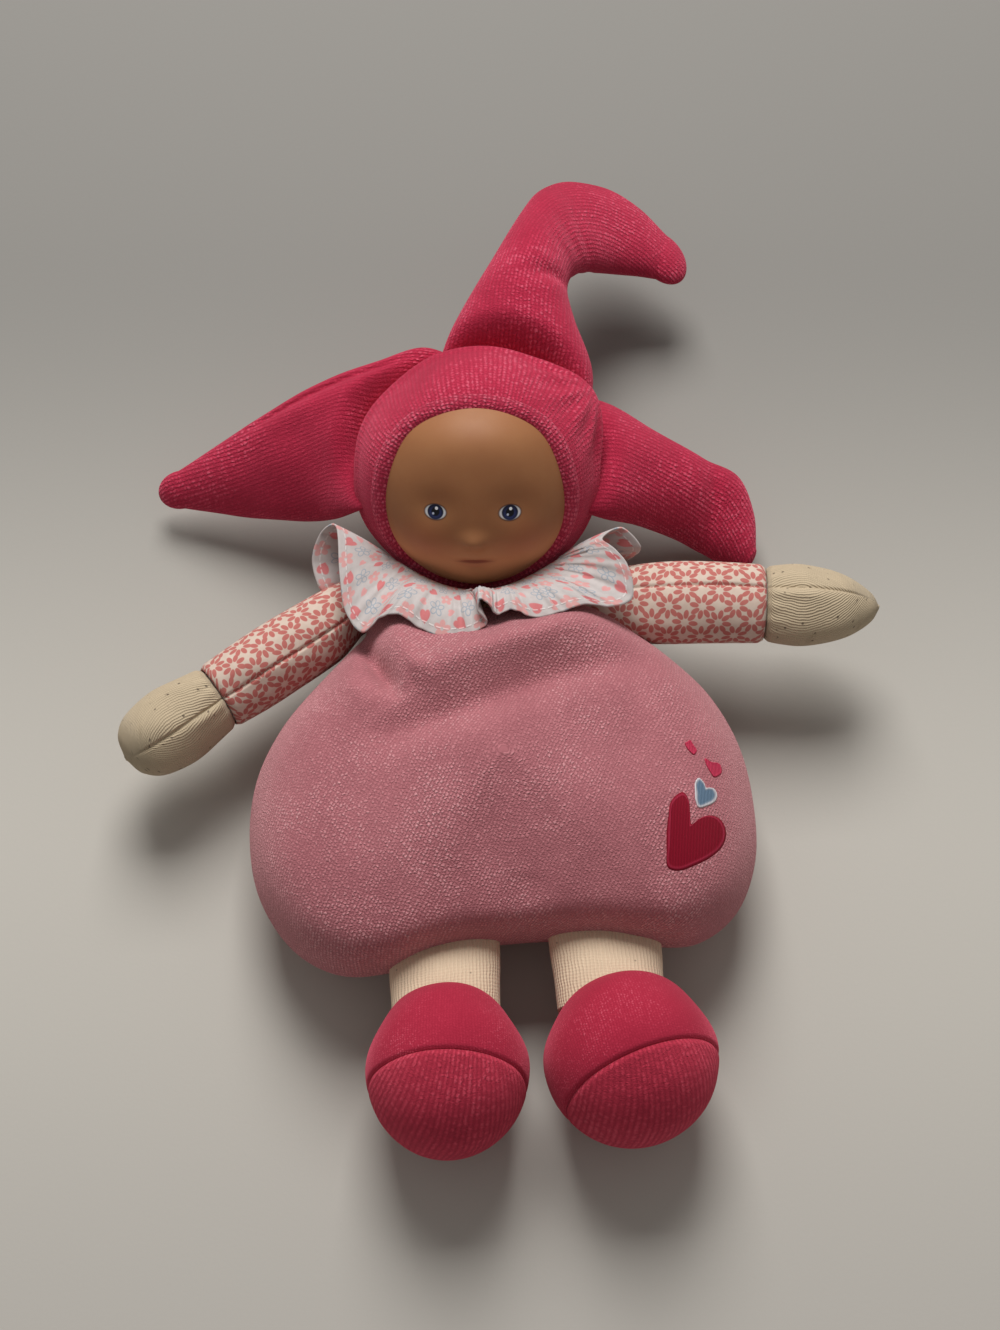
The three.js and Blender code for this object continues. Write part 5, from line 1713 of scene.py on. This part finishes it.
# %% Collar shape
RUFFLE_CENTRE = np.array([NECK_X, BAG_TOP, NECK_HEIGHT])
RUFFLE_ROOT = (26.0, 14.6)
ROOT_RISE = (1.7, 14.0, 5.0)
RUFFLE_ARCH = 5.0
RUFFLE_GATHERS = 62
GATHER_DRIFT = (2, 5)
GATHER_HEIGHT = (0.85, 0.45)
GATHER_BEAT = 3.7
GATHER_FADE = 0.6
GATHER_START = 0.12
GATHER_LEAN = (0.4, -0.5, 0.75)
RUFFLE_ROWS = 40
RUFFLE_STEP = 28
RUFFLE_HEM = [
    [45.7, 14.5, 10], [48, 15.1, 15], [42.3, 19.1, 20], [36.2, 13.7, 24], [39.5, 9.6, 26],
    [43.4, 3.9, 26], [44.4, -5.1, 24], [38.6, -8, 25], [31, -7.8, 26], [23.9, -10.5, 26.5],
    [16.8, -12.3, 27], [10.4, -10.3, 28], [6.2, -12.2, 29], [4.2, -10.3, 31.5], [1.4, -9, 32.5],
    [0.6, -11.6, 30.5], [3.1, -14.4, 27.5], [-1.4, -17.2, 26.5], [-8.4, -17.9, 26], [-15.5, -14.8, 25],
    [-21.7, -10.7, 25.5], [-26.9, -11, 24], [-32, -14.7, 22], [-36.7, -8.6, 22], [-38.6, 2.3, 23.5],
    [-40.6, 19.1, 22], [-45, 19, 17], [-47.9, 12.3, 12], [-45, 3.9, 8], [-38, 14, -6], [-24, 17, -15],
    [0, 15, -18.5], [24, 17, -15], [38, 17, -5],
]
ROOT_TURN = [
    [0, 5], [3, 22], [7, 48], [11, 72], [14, 88], [18, 105], [22, 135], [25, 162], [28, 185], [29, 205],
    [31, 270], [33, 335], [34, 365],
]


def collar_points(place, v):
    """A point of the collar: place counts the hem's measured points and v is the share of the way from
    the neck to the hem. A line joins the neck's ring, which rises at the sides to follow the head, to
    the hem. It is arched, and gathers ripple it near the neck."""
    count = len(RUFFLE_HEM)
    edge = spline(RUFFLE_HEM, (place % count) / count, closed=True)
    turn = np.asarray(ROOT_TURN, float)
    angle = np.radians(np.interp(place % count, turn[:, 0], turn[:, 1]))
    sideways = np.cos(angle) ** 2
    root = np.stack([
        RUFFLE_ROOT[0] * np.cos(angle),
        ROOT_RISE[0] + ROOT_RISE[1] * sideways,
        RUFFLE_ROOT[1] * np.sin(angle) + ROOT_RISE[2] * sideways,
    ], axis=-1)
    drift = GATHER_DRIFT[0] * np.sin(GATHER_DRIFT[1] * angle)
    ripple = np.sin(2 * np.pi * RUFFLE_GATHERS * place / count + drift)
    height = GATHER_HEIGHT[0] + GATHER_HEIGHT[1] * np.sin(GATHER_BEAT * place)
    gather = height * ripple * (1 - v) ** GATHER_FADE * ease(v, 0, GATHER_START)
    lean_x, lean_y, lean_z = GATHER_LEAN
    lean = np.stack([lean_x * np.cos(angle), 0 * angle + lean_y, lean_z * np.sin(angle)], axis=-1)
    points = root + (edge - root) * v[..., None] + lean * gather[..., None]
    points[..., 2] += RUFFLE_ARCH * np.sin(np.pi * v) * np.maximum(0, np.sin(angle))
    return RUFFLE_CENTRE + points


CUTS = {
    "collar_front": (9, 20, None),
    "collar_left": (20, 30, "left_arm"),
    "collar_back": (30, 32, None),
    "collar_right": (32, 43, "right_arm"),
}
for collar_name, (first, last, arm_body) in CUTS.items():
    columns = np.linspace(first, last, (last - first) * RUFFLE_STEP + 1)
    place, v = np.meshgrid(columns, np.linspace(0, 1, RUFFLE_ROWS))
    points = collar_points(place, v)
    run = lengths(points, 0)
    hem_length = lengths(points, 1)[-1]
    cloth = np.stack([np.broadcast_to(hem_length, run.shape), run[-1] - run], axis=-1)
    collar_piece = grid_piece(collar_name, points, cloth, wrap=False)
    thicken(collar_piece, thickness=0.5)
    dress(collar_piece, ruffle_cotton, ["collar_ruffle"])
    if arm_body:
        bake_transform(collar_piece)
    else:
        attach(collar_piece, "torso")
    mean_row = np.linalg.norm(np.diff(points, axis=1), axis=-1).mean(axis=0).sum()

# %% [markdown]
# ## Stuffing
# Inside every bag is a loose filling of wadding. It is never seen, but it is a piece of its own. It
# could be left as the plain solid, yet soft solids are not shown, so each filling is its cloth's own
# rings drawn in, with soft lumps.

# %% Fillings
FILLING_INSET = 2.6
FILLING_LEAST = 0.1
FILLING_UNEVEN = 0.02


def drawn_in(rings, inset):
    """Each ring moved towards its own middle by the inset, and never past a tenth of its reach."""
    middle = rings.mean(axis=1, keepdims=True)
    away = rings - middle
    reach = np.linalg.norm(away, axis=-1, keepdims=True)
    return middle + away * np.maximum(FILLING_LEAST, 1 - inset / reach)


def filling(name, node, body, inner):
    """A closed lumpy form from rings that are already drawn in."""
    middle = inner.mean(axis=1, keepdims=True)
    uneven = 1 + FILLING_UNEVEN * lumps(inner, size=11, seed=23)
    inner = middle + (inner - middle) * uneven[..., None]
    piece = grid_piece(name, inner, caps=(True, True))
    dress(piece, wadding, [node], body)


print("fillings are drawn in by", FILLING_INSET, "mm")

# %% Wadding of the bag and the head
BAG_FILL_ROWS = 30
BAG_FILL_STEP = 4
BAG_FILL_WIDE = 0.93
BAG_FILL_HIGH = 0.78
BAG_FILL_LOW = 3.5
BAG_FILL_DEEP = 20
POLE_GAP = 0.05
HEAD_FILL = 30.5
HEAD_FILL_GRID = (48, 96)

share = np.sin(np.linspace(POLE_GAP, 1, BAG_FILL_ROWS) * np.pi / 2)[:, None]
plan = BAG_POLE + share[..., None] * (bag_edge[::BAG_FILL_STEP] - BAG_POLE) * BAG_FILL_WIDE
crown = bag_crown(share, 0) + 0 * plan[..., 0]
raised = SEAM_HEIGHT + BAG_FILL_HIGH * (bag_front_height(plan) - SEAM_HEIGHT)
lowered = np.maximum(BAG_FILL_LOW, SEAM_HEIGHT - BAG_FILL_DEEP * crown)
top = np.concatenate([plan, raised[..., None]], axis=-1)
under = np.concatenate([plan, lowered[..., None]], axis=-1)
rings = drawn_in(np.concatenate([top, under[::-1][1:]]), FILLING_INSET)
filling("bag_wadding", "body_filling", "torso", rings)

polar = np.linspace(POLE_GAP, math.pi - POLE_GAP, HEAD_FILL_GRID[0])[:, None]
around = np.linspace(0, 2 * np.pi, HEAD_FILL_GRID[1], endpoint=False)
ball = on_head(direction(polar, around + 0 * polar), np.full(HEAD_FILL_GRID, HEAD_FILL))
filling("head_wadding", "head_filling", "head", drawn_in(ball, FILLING_INSET))

# %% Wadding of the points
POINT_FILL = 0.6
POINT_FILL_FROM = 12
POINT_FILL_RINGS = slice(None, -4, 3)
POINT_FILL_SIDES = slice(None, None, 2)

for point_name, shape in HOOD_POINTS.items():
    rings = HEAD_CENTRE + point_rings(shape, POINT_FOLDS[point_name])
    reach = np.linalg.norm(rings - HEAD_CENTRE, axis=-1).min(axis=1)
    first = int(np.argmax(reach > HEAD_RADIUS + POINT_FILL_FROM))
    rings = rings[first:][POINT_FILL_RINGS, POINT_FILL_SIDES]
    middle = rings.mean(axis=1, keepdims=True)
    filling(point_name + "_stuffing", shape["wadding"], point_name, middle + POINT_FILL * (rings - middle))

# %% Wadding of the arms
ARM_FILL_ROWS = 24
ARM_FILL_STEP = 3
SLEEVE_FILL = (0.3, 1)
HAND_FILL = (0.02, 0.93)

for arm_side, arm in ARMS.items():
    sleeve_share = np.linspace(*SLEEVE_FILL, ARM_FILL_ROWS)
    hand_share = np.linspace(*HAND_FILL, ARM_FILL_ROWS)
    pairs = zip(graded(SLEEVE_SHAPE, sleeve_share), graded(arm["hand_shape"], hand_share))
    wide, thick = (np.concatenate(pair) for pair in pairs)
    along = np.concatenate([sleeve_share * SLEEVE_LENGTH, SLEEVE_LENGTH + hand_share * arm["hand"]])
    rings = arm_rings(arm, along, wide, thick, 0 * along)[:, ::ARM_FILL_STEP]
    rings = drawn_in(rings, FILLING_INSET)
    filling(arm_side + "_arm_stuffing", arm_side + "_arm_filling", arm_side + "_arm", rings)

# %% Wadding of the legs and feet
LEG_FILL = (9, 15)
LEG_FILL_ROWS = 8
FOOT_FILL_FROM = 17
FOOT_FILL_ROWS = 24
FOOT_FILL_SIDES = 64
FOOT_FILL_GAP = 2
FOOT_FILL_LEAST = 3
FOOT_BEGINS = 16
FOOT_ROUND = 0.02

for leg_side, leg in LEGS.items():
    toe = leg["reach"] + SLIPPER_HALF[1] - FOOT_FILL_GAP
    leg_down = np.linspace(*LEG_FILL, LEG_FILL_ROWS)
    down = np.concatenate([leg_down, np.linspace(FOOT_FILL_FROM, toe, FOOT_FILL_ROWS)])
    in_foot = down > FOOT_BEGINS
    wide, thick = graded(LEG_SHAPE, np.minimum(down, FOOT_FILL_FROM))
    foot = np.sqrt(np.maximum(FOOT_ROUND, 1 - ((down - leg["reach"]) / SLIPPER_HALF[1]) ** 2))
    wide = np.where(in_foot, np.maximum(foot * SLIPPER_HALF[0], FOOT_FILL_LEAST), wide)[:, None]
    thick = np.where(in_foot, np.maximum(foot * SLIPPER_HALF[2], FOOT_FILL_LEAST), thick)[:, None]
    angle = np.linspace(0, 2 * np.pi, FOOT_FILL_SIDES, endpoint=False)
    rings = np.stack([wide * np.cos(angle), 0 * angle - down[:, None], thick * np.sin(angle)], axis=-1)
    rings[in_foot] += slipper_middle(leg) * np.array([1, 0, 1])
    rings = drawn_in(leg_frame(leg, rings), FILLING_INSET)
    filling(leg_side + "_leg_stuffing", leg_side + "_leg_filling", leg_side + "_leg", rings)

# %% [markdown]
# ## Floor
# The doll lies on a plain pale sheet. Its colour carries painted shade, a little darker away from the
# viewer, and a painted light, palest beside the doll. The floor is no part of the doll. It keeps the
# doll's soft shadow.

# %% Floor
FLOOR_HALF = 1.6
FLOOR_STEPS = 33
# painted light beside the doll and painted shade further up the picture
NEAR_FLOOR_LIGHT = (-0.14, -0.04)
FAR_FLOOR_SHADE = (-0.02, 0.2)
PAPER_SCALE = 900.0
PAPER_DEPTH = 0.02


def pale_floor():
    """Warm pale grey with painted light and shade: palest beside the doll and darker up the picture, with
    a fine paper grain.
    """
    f = Finish("pale_floor", {"Roughness": 0.9, "Specular IOR Level": 0.1})
    spot = f.add("TexCoord", output=3)
    _, y = f.split(spot)
    # painted light: a paler band beside the doll
    colour = f.paint(f.step(y, *NEAR_FLOOR_LIGHT), shade(188, 183, 175), shade(193, 188, 179))
    # painted shade: the floor grows darker up the picture
    colour = f.paint(f.step(y, *FAR_FLOOR_SHADE), colour, shade(138, 135, 130))
    return f.close(colour, f.noise(spot, PAPER_SCALE, detail=2.0), PAPER_DEPTH)


reach = np.linspace(-FLOOR_HALF, FLOOR_HALF, FLOOR_STEPS) / MM
floor_x, floor_y = np.meshgrid(reach, reach)
floor_piece = grid_piece("floor", np.stack([floor_x, floor_y, 0 * floor_x], axis=-1), wrap=False)
floor_piece.data.materials.append(pale_floor())
